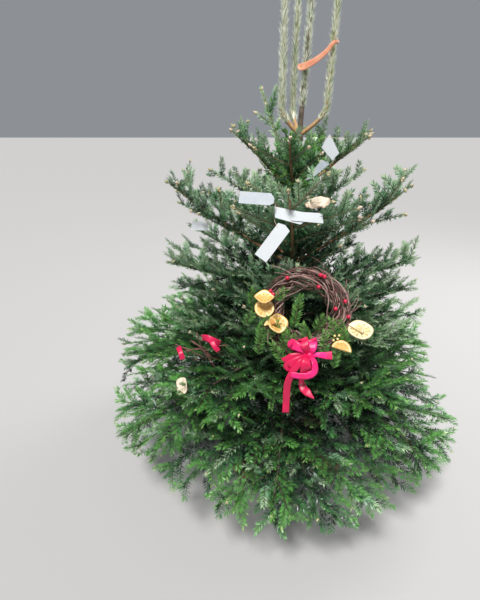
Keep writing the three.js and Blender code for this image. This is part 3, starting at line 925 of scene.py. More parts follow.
PAINTED_LIGHT_OUT = 0.72  # how much lighter a shoot is painted at the crown's outside, as a share of the whorl's greens
OVER_LAYER = 0.05  # height over its whorl's boughs at which a shoot is painted as in the full light
PAINTED_LIGHT_OVER = 0.32  # how much lighter such a shoot is painted, and darker, as painted shade, under its layer
LIGHT_SPREAD = 0.2
PAINTED_LIGHT_ALONG = 0.9  # how much lighter a shoot is at its tip than at its root: painted shade to painted light
BRUSH_LIGHT = 0.62
BRUSH_OUT = 0.09  # distance from the trunk within which a shoot has the brush's greens


def needle_arrays(shoots, sizes, rng):
    """Needles all along the shoots, further apart near the trunk.

    A needle at share s stands at the angle phi round its shoot, measured from its upper side, and at the
    angle alpha from its direction, which grows with phi and closes towards the tip. Its flat face looks up.
    """
    step = sizes.needle_step * of_whorl(NEEDLE_STEPS, shoots)
    counts = np.maximum(8, (shoots.length / step).astype(int))
    index, place = counted(counts)
    s = (place + rng.random(len(index))) / counts[index]
    own = shoots.rows(index)
    inside = 1 - np.clip((outness(own, s) - INSIDE_FROM) / (INSIDE_TO - INSIDE_FROM), 0, 1)
    stem = (own.order == 1) & (s < STEM_NEEDLES_TO) & (Rooms.level[own.mass] < BORDER_WHORLS) & (inside < 0.5)
    kept = rng.random(len(s)) < np.where(stem, STEM_NEEDLES, 1) / lerp(1, NEEDLE_STEP_INSIDE, inside)
    index, s, inside, own = index[kept], s[kept], inside[kept], own.rows(kept)
    along = own.along(s)
    across = unit(np.cross(own.over, along))
    over = np.cross(along, across)
    side = np.where(rng.random(len(s)) < 0.5, -1.0, 1.0)
    phi = np.radians(side * NEEDLE_ROUND * rng.random(len(s)) ** 0.6)
    alpha = np.radians(lerp(*NEEDLE_ANGLES, np.abs(np.sin(phi)))) * (1 - 0.55 * s**6)
    alpha = alpha * (1 + 0.16 * rng.uniform(-1, 1, len(s)))
    out = arc(phi, over, across)
    heading = unit(arc(alpha, along, out))
    face = square(unit(over + 0.35 * out + 0.25 * rng.uniform(-1, 1, (len(s), 3))), heading)
    length = sizes.needle_length * (0.8 + 0.2 * np.sin(np.pi * s**0.7)) * (1 - 0.2 * np.cos(phi) ** 2)
    length = length * rng.uniform(0.85, 1.08, len(s)) * (1 + 0.5 * inside)
    return index, s, own.point(s), heading, face, length, inside


def add_needles(mesh, root, heading, face, length, width, tone, under):
    """Needles of four faces: root, tip, and two points beside their middle, lifted to the face."""
    half = np.broadcast_to(width, len(length))[:, None] / 2
    length = length[:, None]
    middle = root + heading * (0.46 * length) + face * (0.48 * half)
    beside = np.cross(heading, face) * half
    points = np.stack([root, root + heading * length, middle + beside, middle - beside], 1)
    start = 4 * np.arange(len(root))[:, None, None]
    top = (np.array([[0, 2, 3], [1, 3, 2]]) + start).reshape(-1, 3)
    below = (np.array([[0, 1, 2], [0, 3, 1]]) + start).reshape(-1, 3)
    mesh.add(points, (top, np.repeat(tone, 2)), (below, np.repeat(under, 2)), smooth=False)


def add_buds(mesh, root, heading, length, width, tone):
    """Buds of eight faces: root and tip on a line, and four points round it where it is widest."""
    side = unit(np.cross(heading, UP + 0.1 * heading[:, [1, 2, 0]]))
    over = np.cross(side, heading)
    widest = root + heading * (0.4 * length)[:, None]
    round_it = [widest + (width / 2)[:, None] * way for way in (side, over, -side, -over)]
    points = np.stack([root, root + heading * length[:, None], *round_it], 1)
    ring = [(2 + n, 2 + (n + 1) % 4) for n in range(4)]
    faces = np.array([(0, b, a) for a, b in ring] + [(1, a, b) for a, b in ring])
    faces = (faces + 6 * np.arange(len(root))[:, None, None]).reshape(-1, 3)
    mesh.add(points, (faces, np.repeat(tone, 8)))


def painted_light_tones(shoots, rng):
    """Each shoot's painted light and shade: lighter outside in the crown and over its layer, with a share of
    its own.
    """
    level = Rooms.level[shoots.mass]
    x, y, _ = (shoots.point(0.6) - Rooms.foot[shoots.mass]).T
    out, z = np.hypot(x, y), shoots.point(0.6)[:, 2]
    over = np.clip((z - Rooms.height(level, out)) / OVER_LAYER, -1, 1)
    own = LIGHT_SPREAD * rng.normal(0, 1, len(shoots))
    light = PAINTED_LIGHT_OUT * np.clip((outness(shoots) - 0.3) / 0.6, 0, 1) + PAINTED_LIGHT_OVER * over + own
    brush = (level > 3) & (out < BRUSH_OUT) & (z > BRUSH_FROM)
    light = np.where(brush, BRUSH_LIGHT + own, light)
    greyed = (rng.random(len(shoots)) < GREYED) & (level < BORDER_WHORLS)
    greyed &= (light > 0.2) & (light < 0.75) & (over > -0.2)
    return np.where(brush, len(WHORLS), level), light, greyed


def twig_tubes(mesh, shoots, sides, rings, material):
    """Twigs as closed tubes along their shoots, whose radius shrinks evenly to about a third of its girth."""
    s = np.linspace(0, 0.97, rings)
    paths = np.stack([shoots.point(x) for x in s], 1)
    add_loft(mesh, tube_rings(paths, shoots.girth[:, None] * (1 - 0.65 * s), sides, shoots.over), material)


class TREE_OT_needles(bpy.types.Operator):
    """Grow the needles of every mass"""

    bl_idname = "tree.needles"
    bl_label = "Needles"

    def execute(self, context):
        sizes = context.scene.tree_sizes
        rng = np.random.default_rng(5)
        shoots = grown()
        materials = tones("needle", GREENS, 0.36)
        table = np.array([[GREEN[name] for name in names] for names in WHORL_GREENS])
        for level, whorl in enumerate(WHORLS):
            masses = np.flatnonzero(Rooms.level == level)
            for half in np.array_split(masses, 2) if level < 2 else [masses]:
                own = shoots.rows(np.isin(shoots.mass, half))
                row, light, greyed = painted_light_tones(own, rng)
                index, s, root, heading, face, length, inside = needle_arrays(own, sizes, rng)
                light, greyed = light[index], greyed[index]
                # Each needle's green steps up its row with its shoot's painted light, from painted shade at the
                # root to its tip
                step = np.clip(6 * (light + PAINTED_LIGHT_ALONG * (s - 0.5)), 0, 5).astype(int)
                # Greyed shoots turn grey beyond a third and silver beyond two thirds: the needles' wax, and
                # painted sheen
                number = np.where(greyed & (s > 0.3), GREEN["grey"], table[row[index], step])
                number = np.where(greyed & (s > 0.65), GREEN["silver"], number)
                tipped = (s > 0.9) & (light > 0.75) & (rng.random(len(s)) < 0.25)
                number = np.where(tipped, GREEN["straw"], number)
                under = np.where(rng.random(len(s)) < 0.3, GREEN["grey"], number)
                mesh = Mesh()
                width = sizes.needle_width * (1 + NEEDLE_WIDER * inside)
                add_needles(mesh, root, heading, face, length, width, number, under)
                first, last = BOUGHS[half[0]], BOUGHS[half[-1]]
                name = f"sprays_{whorl.name}_{first.number}_to_{last.number}"
                mesh.piece(name, materials, "needles", [BOUGHS[m].node for m in half])
        return {"FINISHED"}


class TREE_OT_buds(bpy.types.Operator):
    """Set clusters of buds on the tips of the shoots"""

    bl_idname = "tree.buds"
    bl_label = "Buds"

    def execute(self, context):
        rng = np.random.default_rng(21)
        shoots = grown()
        row = np.clip(Rooms.level[shoots.mass] - 3, 0, 2)
        chance = np.where(shoots.order == 1, BUDS_FIRST[row], BUDS_FINER[row])
        tips = shoots.rows((rng.random(len(shoots)) < chance) & (outness(shoots) > 0.45))
        count = len(tips)
        size = np.where(tips.order == 1, 1.0, 0.7) * np.where(Rooms.level[tips.mass] > 3, 1.0, 0.75)
        mesh = Mesh()
        for splay, share in ((0.0, 1.0), *((0.75, 0.7),) * (BUDS_IN_CLUSTER - 1)):
            heading = unit(tips.along(np.ones(count)) + splay * unit(rng.normal(0, 1, (count, 3))))
            length = BUD_LENGTH * size * share * rng.uniform(0.85, 1.15, count)
            add_buds(mesh, tips.point(0.985), heading, length, length * 0.62, rng.integers(0, 3, count))
        mesh.piece("buds", tones("bud", BUD_COLOURS, 0.55))
        return {"FINISHED"}


class TREE_OT_twigs(bpy.types.Operator):
    """Grow the twigs that the needles stand on"""

    bl_idname = "tree.twigs"
    bl_label = "Twigs"

    def execute(self, context):
        shoots = grown()
        mesh = Mesh()
        low = Rooms.level[shoots.mass] < 4
        twig_tubes(mesh, shoots.rows((shoots.order == 1) & low), 5, 6, 0)
        twig_tubes(mesh, shoots.rows((shoots.order == 1) & ~low), 6, 6, 2)
        twig_tubes(mesh, shoots.rows(shoots.order == 2), 3, 3, 1)
        twig_tubes(mesh, shoots.rows(shoots.order == 3), 3, 2, 1)
        mesh.piece("twigs", tones("twig", TWIG_COLOURS, 0.75))
        return {"FINISHED"}


def relief(turn, length, seed, count=9):
    """Bark relief from -1 to 1: waves round and along the wood, whose sum is sharpened into ridges."""
    rng = np.random.default_rng(seed)
    total = np.zeros(np.broadcast(turn, length).shape)
    for _ in range(count):
        waves, along, phase = rng.integers(1, 9), rng.uniform(20, 130), rng.uniform(0, 2 * np.pi)
        total = total + np.sin(waves * turn + along * length + phase)
    return 1 - 2 * np.abs(np.sin(total))


def add_wood(mesh, path, radius, sides, depth, seed, over, collars=()):
    """A limb with relief: its radius times 1 + depth relief, and a swelling at each collar's height."""
    steps = np.linalg.norm(np.diff(path, axis=0), axis=1)
    length = np.concatenate([[0], np.cumsum(steps)])
    swell = sum((COLLAR * np.exp(-(((path[:, 2] - z) / COLLAR_HEIGHT) ** 2)) for z in collars), 0 * length)
    grow = 1 + depth * relief(around(sides)[None, :], length[:, None], seed) + swell[:, None]
    rings = tube_rings(path[None], radius[None], sides, over)
    add_loft(mesh, path[:, None] + (rings - path[:, None]) * grow[:, :, None])


class TREE_OT_trunk(bpy.types.Operator):
    """Make the trunk with its bark and the swellings under its whorls"""

    bl_idname = "tree.trunk"
    bl_label = "Trunk"

    def execute(self, context):
        z = np.concatenate([np.linspace(CUT_Z, LEADERS_Z, 420), np.linspace(LEADERS_Z, TIP_Z, 160)[1:]])
        mesh = Mesh()
        collars = [whorl.z - 0.008 for whorl in WHORLS] + [LEADERS_Z - 0.01]
        add_wood(mesh, trunk_axis(z), trunk_radius(z) * 0.97, 36, 0.03, 1, np.array([0.0, 1, 0]), collars)
        bark = bark_finish("trunk_bark", (0.06, 0.042, 0.03), (0.2, 0.155, 0.11), (0.11, 0.12, 0.06), 26)
        mesh.piece("trunk_bark", [bark], "bark", ["trunk"])
        return {"FINISHED"}


class TREE_OT_boughs(bpy.types.Operator):
    """Make the wood of every bough, from the trunk to the tip of its mass"""

    bl_idname = "tree.boughs"
    bl_label = "Boughs"

    def execute(self, context):
        t = np.linspace(0, 0.9, 60)
        for (name, bark, *colours), high in zip(BOUGH_BARKS, (False, True)):
            mesh = Mesh()
            own = [b for b in BOUGHS if (b.level > 3) == high]
            for bough in own:
                add_wood(mesh, bough.path(t), bough.radius(t), 10, 0.05, bough.seed, UP)
            bare = [f"bough_{b.whorl.name}_{b.number}" for b in own if b.whorl.bare]
            mesh.piece(name, [bark_finish(bark, *colours, 40)], "bark", bare)
        return {"FINISHED"}


LEADER_NEEDLE = 0.028
LEADER_SKIN = 0.004  # distance of their roots from its middle
LEADER_NEEDLE_WIDTH = 0.75  # times the width of the crown's needles
LEADER_PITCH = (16, 38)  # degrees of a needle from its leader
LEADER_COUNTS = (1500, 1000, 1000, 1300)  # needles on the left, right, back and middle leaders
LEADER_FROM = (0.16, 0.2, 0.2, 0.06)  # share of each leader that is bare
# Greens of the leaders' needles: sage and pale are their young pale green, made lighter still as painted light
LEADER_GREENS = (
    ("sage", "pale", "pale", "pale", "silver", "pale"),
    ("sage", "sage", "pale", "straw", "pale", "pale"),
    ("sage", "silver", "pale", "pale"),
    ("pale", "sage", "pale", "pale", "silver"),
)


def leader_finish():
    """Bark of the leaders: orange-brown where they leave the trunk, and olive-grey with streaks above."""
    finish = Finish("leader_bark", (0.4, 0.3, 0.16), Roughness=0.7)
    where = finish.place()
    height = finish.node("ShaderNodeSeparateXYZ", {}, (where,), 2)
    up = finish.node("ShaderNodeMapRange", {}, (height, LEADERS_Z - 0.01, LEADERS_Z + 0.17, 0.0, 1.0))
    streak = finish.noise(finish.stretched(where, (160, 160, 14)), 1.0, 4.0, 0.6)
    low = finish.ramp(streak, (0.3, (0.3, 0.13, 0.05)), (0.7, (0.5, 0.27, 0.1)))
    high = finish.ramp(streak, (0.3, (0.22, 0.19, 0.09)), (0.7, (0.42, 0.38, 0.24)))
    finish.feed(Base_Color=finish.mixed(up, low, high))
    return finish.bumped(streak, 0.3, 0.001)


class TREE_OT_leaders(bpy.types.Operator):
    """Make the three side leaders and the needles of all four"""

    bl_idname = "tree.leaders"
    bl_label = "Leaders"

    def execute(self, context):
        width = context.scene.tree_sizes.needle_width * LEADER_NEEDLE_WIDTH
        mesh = Mesh()
        t = np.linspace(0, 1, 120)
        for n, leader in enumerate(LEADERS):
            radius = lerp(leader.radius, TIP_RADIUS, t)
            add_wood(mesh, leader_path(leader, t), radius, 16, 0.03, 40 + n, np.array([0.0, 1, 0.01]))
        mesh.piece("leaders_bark", [leader_finish()], "young_bark", [leader.name for leader in LEADERS])
        rng = np.random.default_rng(8)
        needles = Mesh()
        ways = [lambda t, leader=leader: leader_path(leader, t) for leader in LEADERS]
        ways.append(lambda t: trunk_axis(lerp(LEADERS_Z + 0.05, TIP_Z, t)))
        for way, count, first, names in zip(ways, LEADER_COUNTS, LEADER_FROM, LEADER_GREENS):
            s = lerp(first, 0.99, np.sort(rng.random(count)))
            along = unit(way(np.minimum(1, s + 0.01)) - way(s - 0.01))
            turn = rng.uniform(0, 2 * np.pi, count)
            right = unit(np.cross(along, np.array([0, 1.0, 0])))
            out = arc(turn, right, np.cross(right, along))
            heading = arc(np.radians(rng.uniform(*LEADER_PITCH, count)), along, out)
            tone = np.array([GREEN[name] for name in names])[rng.integers(0, len(names), count)]
            length = LEADER_NEEDLE * rng.uniform(0.85, 1.1, count)
            root = way(s) + out * LEADER_SKIN
            add_needles(needles, root, heading, square(out, heading), length, width, tone, tone)
        needles.piece("leader_needles", tones("leader_needle", GREENS, 0.45), "needles")
        return {"FINISHED"}


# The wreath hangs on the front bough of the fourth whorl. Places on it are right, up and out of its middle.
# The tables of what hangs on it and near it are in millimetres, and all else is in metres
WREATH = facing(-6.3, 22.8)
WREATH_CENTRE = (0.003, -0.465, 0.876)
WREATH_TWIGS = 70
# Rectangles in its frame, and radii, that the shoots leave clear: its upper part, and the ribbon's end
WREATH_SEEN = (((-0.15, -0.05), (0.15, 0.15), (0.06, 0.15)), ((-0.075, -0.33), (-0.02, -0.19), (0, 1)))
WREATH_RADIUS = 0.103
WREATH_SPREAD = 0.034
WREATH_DEPTH = 0.02
WREATH_GIRTH = (0.0012, 0.0025)
WREATH_STEPS = 56
WREATH_ARC = (2.4, 0.6)  # least turn of a twig round it, and more by this share of a random full turn
WREATH_LOOSE = 0.35  # how far the loose ends of half the twigs stand off, for each share of their length
BERRY_RADIUS = 0.0065
GOLD_RADIUS = 0.004
# Places of the berries, and places (right, up) of the golden beads, which are all as far out
BERRIES = (
    (41, 112, 30),
    (53, 108, 28),
    (36, 76, 28),
    (-109, 58, 30),
    (-101, 48, 32),
    (89, 11, 30),
    (128, -11, 30),
    (118, 35, 22),
    (-60, 100, 24),
)
GOLD_OUT = 45
GOLD = ((88, -70), (97, -79), (85, -83), (101, -68), (94, -90))
SLICE_SIDES = 40
# Dried slices of fruit. cup is how far the rim is lifted, and cut the share of the round that is left
Slice = namedtuple("Slice", "place radius yaw pitch roll cup cut tones")
WREATH_SLICES = (
    Slice((-126, 4, 35), 30, 0, 28, 0, 6, 1, 0),
    Slice((-127, 30, 45), 31, 0, 78, 0, 12, 1, 0),
    Slice((-88, -43, 40), 31, 28, 32, 25, 15, 1, 0),
    Slice((-100, -46, 50), 24, -58, 25, 35, 8, 0.5, 0),
    Slice((163, -53, 40), 37, -10, 66, -12, 8, 1, 1),
    Slice((149, -50, 46), 26, -40, 55, -10, 6, 0.5, 1),
    Slice((108, -112, 45), 31, 10, 40, -20, 4, 0.5, 0),
)
OTHER_SLICES = (
    Slice((-390, -420, 580), 30, -50, 24, 60, 12, 0.9, 2),
    Slice((34, -310, 1172), 26, 15, 58, 10, 16, 1, 2),
    Slice((66, -305, 1176), 24, -25, 50, -40, 14, 1, 2),
    Slice((8, -310, 1182), 20, 40, 40, 60, 12, 0.6, 2),
)
# Colours of a slice's flesh, pith, rind and walls, for each of the three kinds
SLICE_COLOURS = (
    ((0.72, 0.38, 0.08), (0.85, 0.7, 0.42), (0.8, 0.48, 0.14), (0.86, 0.6, 0.26)),
    ((0.8, 0.66, 0.35), (0.86, 0.78, 0.56), (0.76, 0.6, 0.34), (0.45, 0.28, 0.1)),
    ((0.86, 0.68, 0.5), (0.9, 0.8, 0.66), (0.86, 0.66, 0.5), (0.9, 0.82, 0.7)),
)
KNOT = (15.7, -130, 45)
KNOT_RADIUS = 0.01
RIBBONS_FACE = (0.1, -1.0, 0.3)  # where the other ribbons' flat sides look
LONG_TAIL = (
    *(KNOT, (-9, -150, 68), (-32, -181.5, 58), (-44, -212, 45)),
    *((-47.5, -235, 35), (-48, -275, 18), (-48.5, -315, 4)),
)
SHORT_TAIL = (KNOT, (6, -170, 30), (-4, -210, 8), (2, -234, 14), (16, -247, 26), (34.5, -262, 30))
# Ribbons of the bow: points of the path, widths along it as shares of the ribbon's, how far it is on edge,
# and its tone, which is 1 for the satin with painted sheen
BOW = (
    ((KNOT, (-15, -110, 62), (-36, -100, 52), (-22, -114, 36), KNOT), (0.6, 1.3, 0.6), 0.1, 1),
    ((KNOT, (2, -106, 66), (-6, -88, 54), (0, -106, 36), KNOT), (0.6, 1.4, 0.6), 0.1, 0),
    ((KNOT, (22, -110, 62), (22, -90, 50), (24, -108, 35), KNOT), (0.6, 1.3, 0.6), 0.1, 1),
    ((KNOT, (-22, -138, 55), (-50, -147, 50), (-67, -147, 42)), (0.6, 1.3, 0.25), 0.1, 0),
    ((KNOT, (-15, -146, 60), (-45, -166, 52), (-20, -160, 40), KNOT), (0.6, 1.3, 0.6), 0.1, 0),
    ((KNOT, (6, -150, 70), (8, -176, 60), (10, -160, 40), KNOT), (0.6, 1.6, 0.6), 0.1, 0),
    ((KNOT, (30, -150, 64), (31, -178, 60), (8, -193, 60), (-38, -192, 56)), (0.5, 0.9, 0.8), 0.45, 1),
    ((KNOT, (40, -128, 55), (62, -129, 52), (82, -128, 50)), (0.35, 0.7, 1), 0.1, 1),
    (LONG_TAIL, (0.5, 0.8, 0.85, 0.85, 0.85), 0.1, 0),
    (SHORT_TAIL, (0.4, 0.5, 0.6, 1.0, 0.9, 0.15), 0.1, 0),
)
LEADERS_BAND = (
    *((34, 12, 1602), (10, -4, 1597), (24, -22, 1600), (56, -30, 1616)),
    *((90, -36, 1642), (112, -34, 1668), (130, -20, 1675), (122, 0, 1668)),
)
# Ribbons elsewhere: points of the path in the frame, widths as shares of the ribbon's, and the tone
OTHER_RIBBONS = (
    (((-330, -360, 735), (-310, -385, 745), (-285, -390, 735), (-268, -380, 722)), (0.9, 0.9), 0),
    (((-300, -385, 742), (-285, -400, 722), (-272, -400, 705)), (0.7, 0.7), 0),
    (((-412, -360, 700), (-402, -385, 690), (-395, -390, 668)), (0.7, 0.7), 0),
    (LEADERS_BAND, (1.0, 1.0, 0.7, 0.45, 0.45), 2),
)
# Two ends of the bunch of twigs on the left, and the number of its twigs
BUNCH_GIRTH = 0.0016
TWIG_BUNCH = ((-360, -360, 700), (-300, -350, 660), 6)
STRING_RADIUS = 0.0008
STRING_SLACK = (0, -0.004, -0.006)
# Blank tags: corners to the right of and over their middle, that middle, and 1 for a grey one
Tag = namedtuple("Tag", "corners middle yaw pitch roll grey")
CUT_TAG = ((-55, -20), (40, -20), (52, -12), (52, 6), (40, 20), (-55, 20))
TAGS = (
    Tag(((2, 48), (33, -16), (6, -40), (-30, 4)), (106, -130, 1337), 12, 18, 0, 0),
    Tag(((-45, -35), (-20, -28), (45, 20), (20, 36)), (52, -225, 1276), 10, 30, 0, 1),
    Tag(CUT_TAG, (-148, -370, 1208), -8, 36, -3, 1),
    Tag(((-55, 12), (-45, -22), (55, -14), (50, 24)), (4, -365, 1150), 5, 48, -12, 0),
    Tag(((-60, 22), (-50, -16), (30, -22), (50, 0), (30, 22)), (-40, -365, 1152), 5, 40, -14, 0),
    Tag(((-65, 22), (-65, -22), (55, -22), (62, 0), (55, 22)), (-98, -400, 1082), -8, 24, 56, 0),
    Tag(((-30, 18), (-35, -16), (30, -22), (34, 12)), (-346, -120, 1070), -20, 30, 8, 0),
)
# Fresh sprigs: root and tip on the wreath
SPRIGS = (
    ((-35, -50, 10), (-18, 47, 50)),
    ((-100, 30, 20), (-62, 62, 50)),
    ((30, -60, 10), (55, -12, 50)),
    ((-160, 0, 0), (-170, 60, 30)),
    ((100, -90, 20), (75, -20, 45)),
    ((-20, -130, 20), (-55, -70, 50)),
    ((60, -140, 20), (60, -60, 45)),
    ((130, -130, 10), (115, -50, 40)),
    ((-50, -170, 10), (-100, -100, 45)),
    ((-140, -140, 0), (-135, -60, 40)),
    ((20, -110, 15), (-10, -40, 45)),
    ((90, -170, 10), (100, -100, 35)),
    ((-190, -50, 0), (-160, -10, 30)),
    ((-125, -100, 5), (-78, -35, 50)),
    ((-75, -135, 5), (-52, -55, 50)),
    ((-30, -150, 10), (-34, -75, 50)),
    ((130, -90, 5), (100, -25, 45)),
    ((-150, -80, 0), (-110, -20, 45)),
)


def mottled(name, dark, light, scale, roughness=0.6, relief=0.0005):
    """Two tones of one colour in soft blotches, with fine relief of the same noise.

    dark may be a share of the light one.
    """
    dark = tuple(dark * v for v in light) if isinstance(dark, float) else dark
    finish = Finish(name, light, Roughness=roughness)
    blotch = finish.noise(finish.place(), scale, 5.0, 0.6, 0.3)
    finish.feed(Base_Color=finish.ramp(blotch, (0.35, dark), (0.65, light)))
    return finish.bumped(blotch, 0.4, relief)


def add_balls(mesh, places, radius, material, rings=7, sides=10):
    """Balls as turned shapes, whose first and last rings are a tenth of their radius wide."""
    polar = np.linspace(0.1, np.pi - 0.1, rings)
    side = arc(around(sides), np.array([0, 1.0, 0]), np.array([1.0, 0, 0]))
    ball = radius * arc(polar[:, None], UP, side)
    add_loft(mesh, np.asarray(places, float)[:, None, None, :] + ball, material)


class TREE_OT_wreath(bpy.types.Operator):
    """Wind the twigs of the wreath and of the small bunch on the left"""

    bl_idname = "tree.wreath"
    bl_label = "Wreath"

    def execute(self, context):
        rng = np.random.default_rng(31)
        mesh = Mesh()
        count, steps = WREATH_TWIGS, WREATH_STEPS
        start, span = rng.uniform(0, 2 * np.pi, (2, count, 1))
        a = start + (WREATH_ARC[0] + WREATH_ARC[1] * span) * np.linspace(0, 1, steps)
        side, deep = rng.uniform(-1, 1, (2, count, 1))
        phase, waves = rng.uniform(0, 6.3, (count, 1)), rng.integers(2, 7, (count, 1))
        end = np.clip(np.linspace(-0.06, 1.12, steps) - 1, 0, 1)
        loose = WREATH_LOOSE * end * (rng.random((count, 1)) < 0.5)
        r = WREATH_RADIUS + WREATH_SPREAD * (0.75 * side + 0.35 * np.sin(waves * a + phase)) + loose
        out = WREATH_DEPTH * (0.7 * deep + 0.6 * np.cos(waves * a + phase))
        paths = on_wreath(np.stack([r * np.cos(a), r * np.sin(a), out], -1))
        girth = rng.uniform(*WREATH_GIRTH, (count, 1)) * np.linspace(1, 0.5, steps)
        tone = np.repeat(rng.integers(0, 3, count), (steps - 1) * 5)
        ends = np.repeat(rng.integers(0, 3, count), 10)
        add_loft(mesh, tube_rings(paths, girth, 5, WREATH[2]), tone, ends)
        here, there, number = TWIG_BUNCH
        t = np.linspace(-0.35, 1.35, 12)[None, :, None]
        middle = lerp(metres(here), metres(there), t)
        fan = rng.normal(0, 1, (number, 1, 3)) * 0.02 * (np.abs(t - 0.5) + 0.15)
        bunch = middle + fan + 0.012 * UP * np.sin(3 * t + rng.uniform(0, 6, (number, 1, 1)))
        add_loft(mesh, tube_rings(bunch, BUNCH_GIRTH, 5, UP), 0)
        finishes = [
            mottled("twig_red", (0.11, 0.04, 0.035), (0.24, 0.1, 0.085), 90, 0.6),
            mottled("twig_grey", (0.2, 0.115, 0.1), (0.38, 0.24, 0.21), 90, 0.65),
            mottled("twig_dark", (0.05, 0.022, 0.018), (0.12, 0.055, 0.04), 90, 0.6),
        ]
        mesh.piece("wreath_twigs", finishes, "wreath_twigs")
        return {"FINISHED"}


def add_slice(mesh, piece, centre):
    """A dried slice: a thick disc whose rim is lifted and wavy, with a rind, a pale pith and ten segments.

    Its rim is lifted by cup r r and by a wave of a third of that round it, where r is its radius's share.
    """
    a = around(SLICE_SIDES) * piece.cut
    share = np.array([0.02, 0.3, 0.8, 0.9, 1.0, 1.0, 0.9, 0.3, 0.02])[:, None]
    thick = 2.2 * np.array([1, 1, 0.9, 1, 0.6, -0.6, -1, -1, -1])[:, None]
    lift = piece.cup * share**2 * (1 + 0.35 * np.sin(3 * a + 7 * piece.radius))
    r = piece.radius * share
    local = np.stack([r * np.cos(a), r * np.sin(a) * 0.96, thick + lift], -1)
    flesh, pith, rind, wall = 4 * piece.tones + np.arange(4)
    band = np.array([flesh, flesh, pith, rind, rind, rind, pith, flesh])[:, None]
    wedge = np.arange(SLICE_SIDES) % 4 == 0
    number = np.where(wedge & (band == flesh), wall, band)
    rows = facing(piece.yaw, piece.pitch, piece.roll)
    add_loft(mesh, placed(metres(local), rows, centre)[None], number.ravel(), flesh)


def twig_places():
    """Places along all the crown's shoots."""
    shoots = grown()
    return np.concatenate([shoots.point(s) for s in (0.15, 0.4, 0.65, 0.9)])


def add_string(mesh, hole, twigs, material):
    """A string with a little slack, from a hole to the nearest twig that isn't under it."""
    over = twigs[twigs[:, 2] > hole[2]]
    held = over[np.argmin(np.linalg.norm(over - hole, axis=1))]
    way = np.array([hole, 0.5 * (hole + held) + STRING_SLACK, held])
    add_loft(mesh, tube_rings(smooth_path(way, 12)[None], STRING_RADIUS, 5, UP), material)


def string_finish():
    """Jute string."""
    return mottled("string", (0.4, 0.33, 0.2), (0.6, 0.52, 0.36), 200, 0.8)


class TREE_OT_fruit(bpy.types.Operator):
    """Make the dried slices, and the berries and golden beads of the wreath"""

    bl_idname = "tree.fruit"
    bl_label = "Fruit"

    def execute(self, context):
        mesh = Mesh()
        for piece in WREATH_SLICES:
            add_slice(mesh, piece, on_wreath(metres(piece.place)))
        twigs = twig_places()
        for piece in OTHER_SLICES:
            place = metres(piece.place)
            add_slice(mesh, piece, place)
            add_string(mesh, place + metres(0.5 * piece.radius) * UP, twigs, 12)
        names = ("flesh", "pith", "rind", "wall")
        finishes = [
            mottled(f"slice_{name}_{n}", 0.7, colour, 120, 0.45, 0.001)
            for n, row in enumerate(SLICE_COLOURS)
            for name, colour in zip(names, row)
        ]
        mesh.piece("dried_slices", [*finishes, string_finish()], "dried_fruit")
        berries = Mesh()
        add_balls(berries, on_wreath(metres(BERRIES)), BERRY_RADIUS, 0)
        beads = on_wreath(metres([(x, y, GOLD_OUT) for x, y in GOLD]))
        add_balls(berries, beads, GOLD_RADIUS, 1, 5, 8)
        red = mottled("berry_red", (0.4, 0.006, 0.035), (0.6, 0.012, 0.06), 60, 0.25)
        gold = mottled("gold_bead", (0.6, 0.42, 0.14), (0.85, 0.68, 0.3), 200, 0.35)
        berries.piece("berries", [red, gold], "berries")
        return {"FINISHED"}


class TREE_OT_ribbons(bpy.types.Operator):
    """Tie the bow of the wreath, the ribbons on the left and the band between the leaders"""

    bl_idname = "tree.ribbons"
    bl_label = "Ribbons"

    def execute(self, context):
        width = context.scene.tree_sizes.ribbon_width
        red = tuple(context.scene.tree_colours.ribbon)
        mesh = Mesh()
        for points, widths, edge, tone in BOW:
            path = smooth_path(metres(points), 12 * len(points))
            flow = np.gradient(path, axis=0)
            across = np.cross(flow, UP) + edge * np.linalg.norm(flow, axis=1)[:, None] * UP
            add_ribbon(mesh, on_wreath(path), across @ WREATH, width, widths, 0.0005, tone)
        add_balls(mesh, on_wreath(metres([KNOT])), KNOT_RADIUS, 1)
        for points, widths, tone in OTHER_RIBBONS:
            path = smooth_path(metres(points), 12 * len(points))
            across = np.cross(np.gradient(path, axis=0), RIBBONS_FACE)
            add_ribbon(mesh, path, across, width, widths, 0.0004, tone)
        # The sheen is a lighter copy of the satin: painted sheen on some of the bow's loops and on its knot
        bright = (min(1, red[0] + 0.25), red[1] + 0.012, red[2] + 0.14)
        satin = mottled("satin_red", 0.75, red, 30, 0.42, 0.0004)
        sheen = mottled("satin_sheen", red, bright, 45, 0.45, 0.0004)
        peach = mottled("satin_peach", (0.5, 0.15, 0.07), (0.66, 0.32, 0.19), 30, 0.5)
        mesh.piece("ribbons", [satin, sheen, peach], "ribbon")
        return {"FINISHED"}


class TREE_OT_tags(bpy.types.Operator):
    """Hang the blank tags on their strings"""

    bl_idname = "tree.tags"
    bl_label = "Tags"

    def execute(self, context):
        white = tuple(context.scene.tree_colours.paper)
        mesh = Mesh()
        twigs = twig_places()
        for tag in TAGS:
            rows = facing(tag.yaw, tag.pitch, tag.roll)
            middle = metres(tag.middle)
            outline = placed(metres([(x, y, 0) for x, y in tag.corners]), rows, middle)
            half = 0.0005 * rows[2]
            add_loft(mesh, np.stack([outline + half, outline - half])[None], tag.grey, smooth=False)
            near = outline[np.argmax(outline[:, 2])]
            hole = near + 0.2 * (middle - near)
            add_string(mesh, hole, twigs, 2)
            eyelet = hole + 0.0032 * arc(np.linspace(0, 2 * np.pi, 13), rows[0], rows[1])
            add_loft(mesh, tube_rings(eyelet[None], 0.0009, 5, rows[2]), 2)
        finishes = [
            mottled("paper_white", 0.93, white, 20, 0.5),
            mottled("paper_grey", (0.22, 0.245, 0.27), (0.28, 0.31, 0.335), 20, 0.5),
            string_finish(),
        ]
        mesh.piece("tags", finishes, "tags")
        return {"FINISHED"}


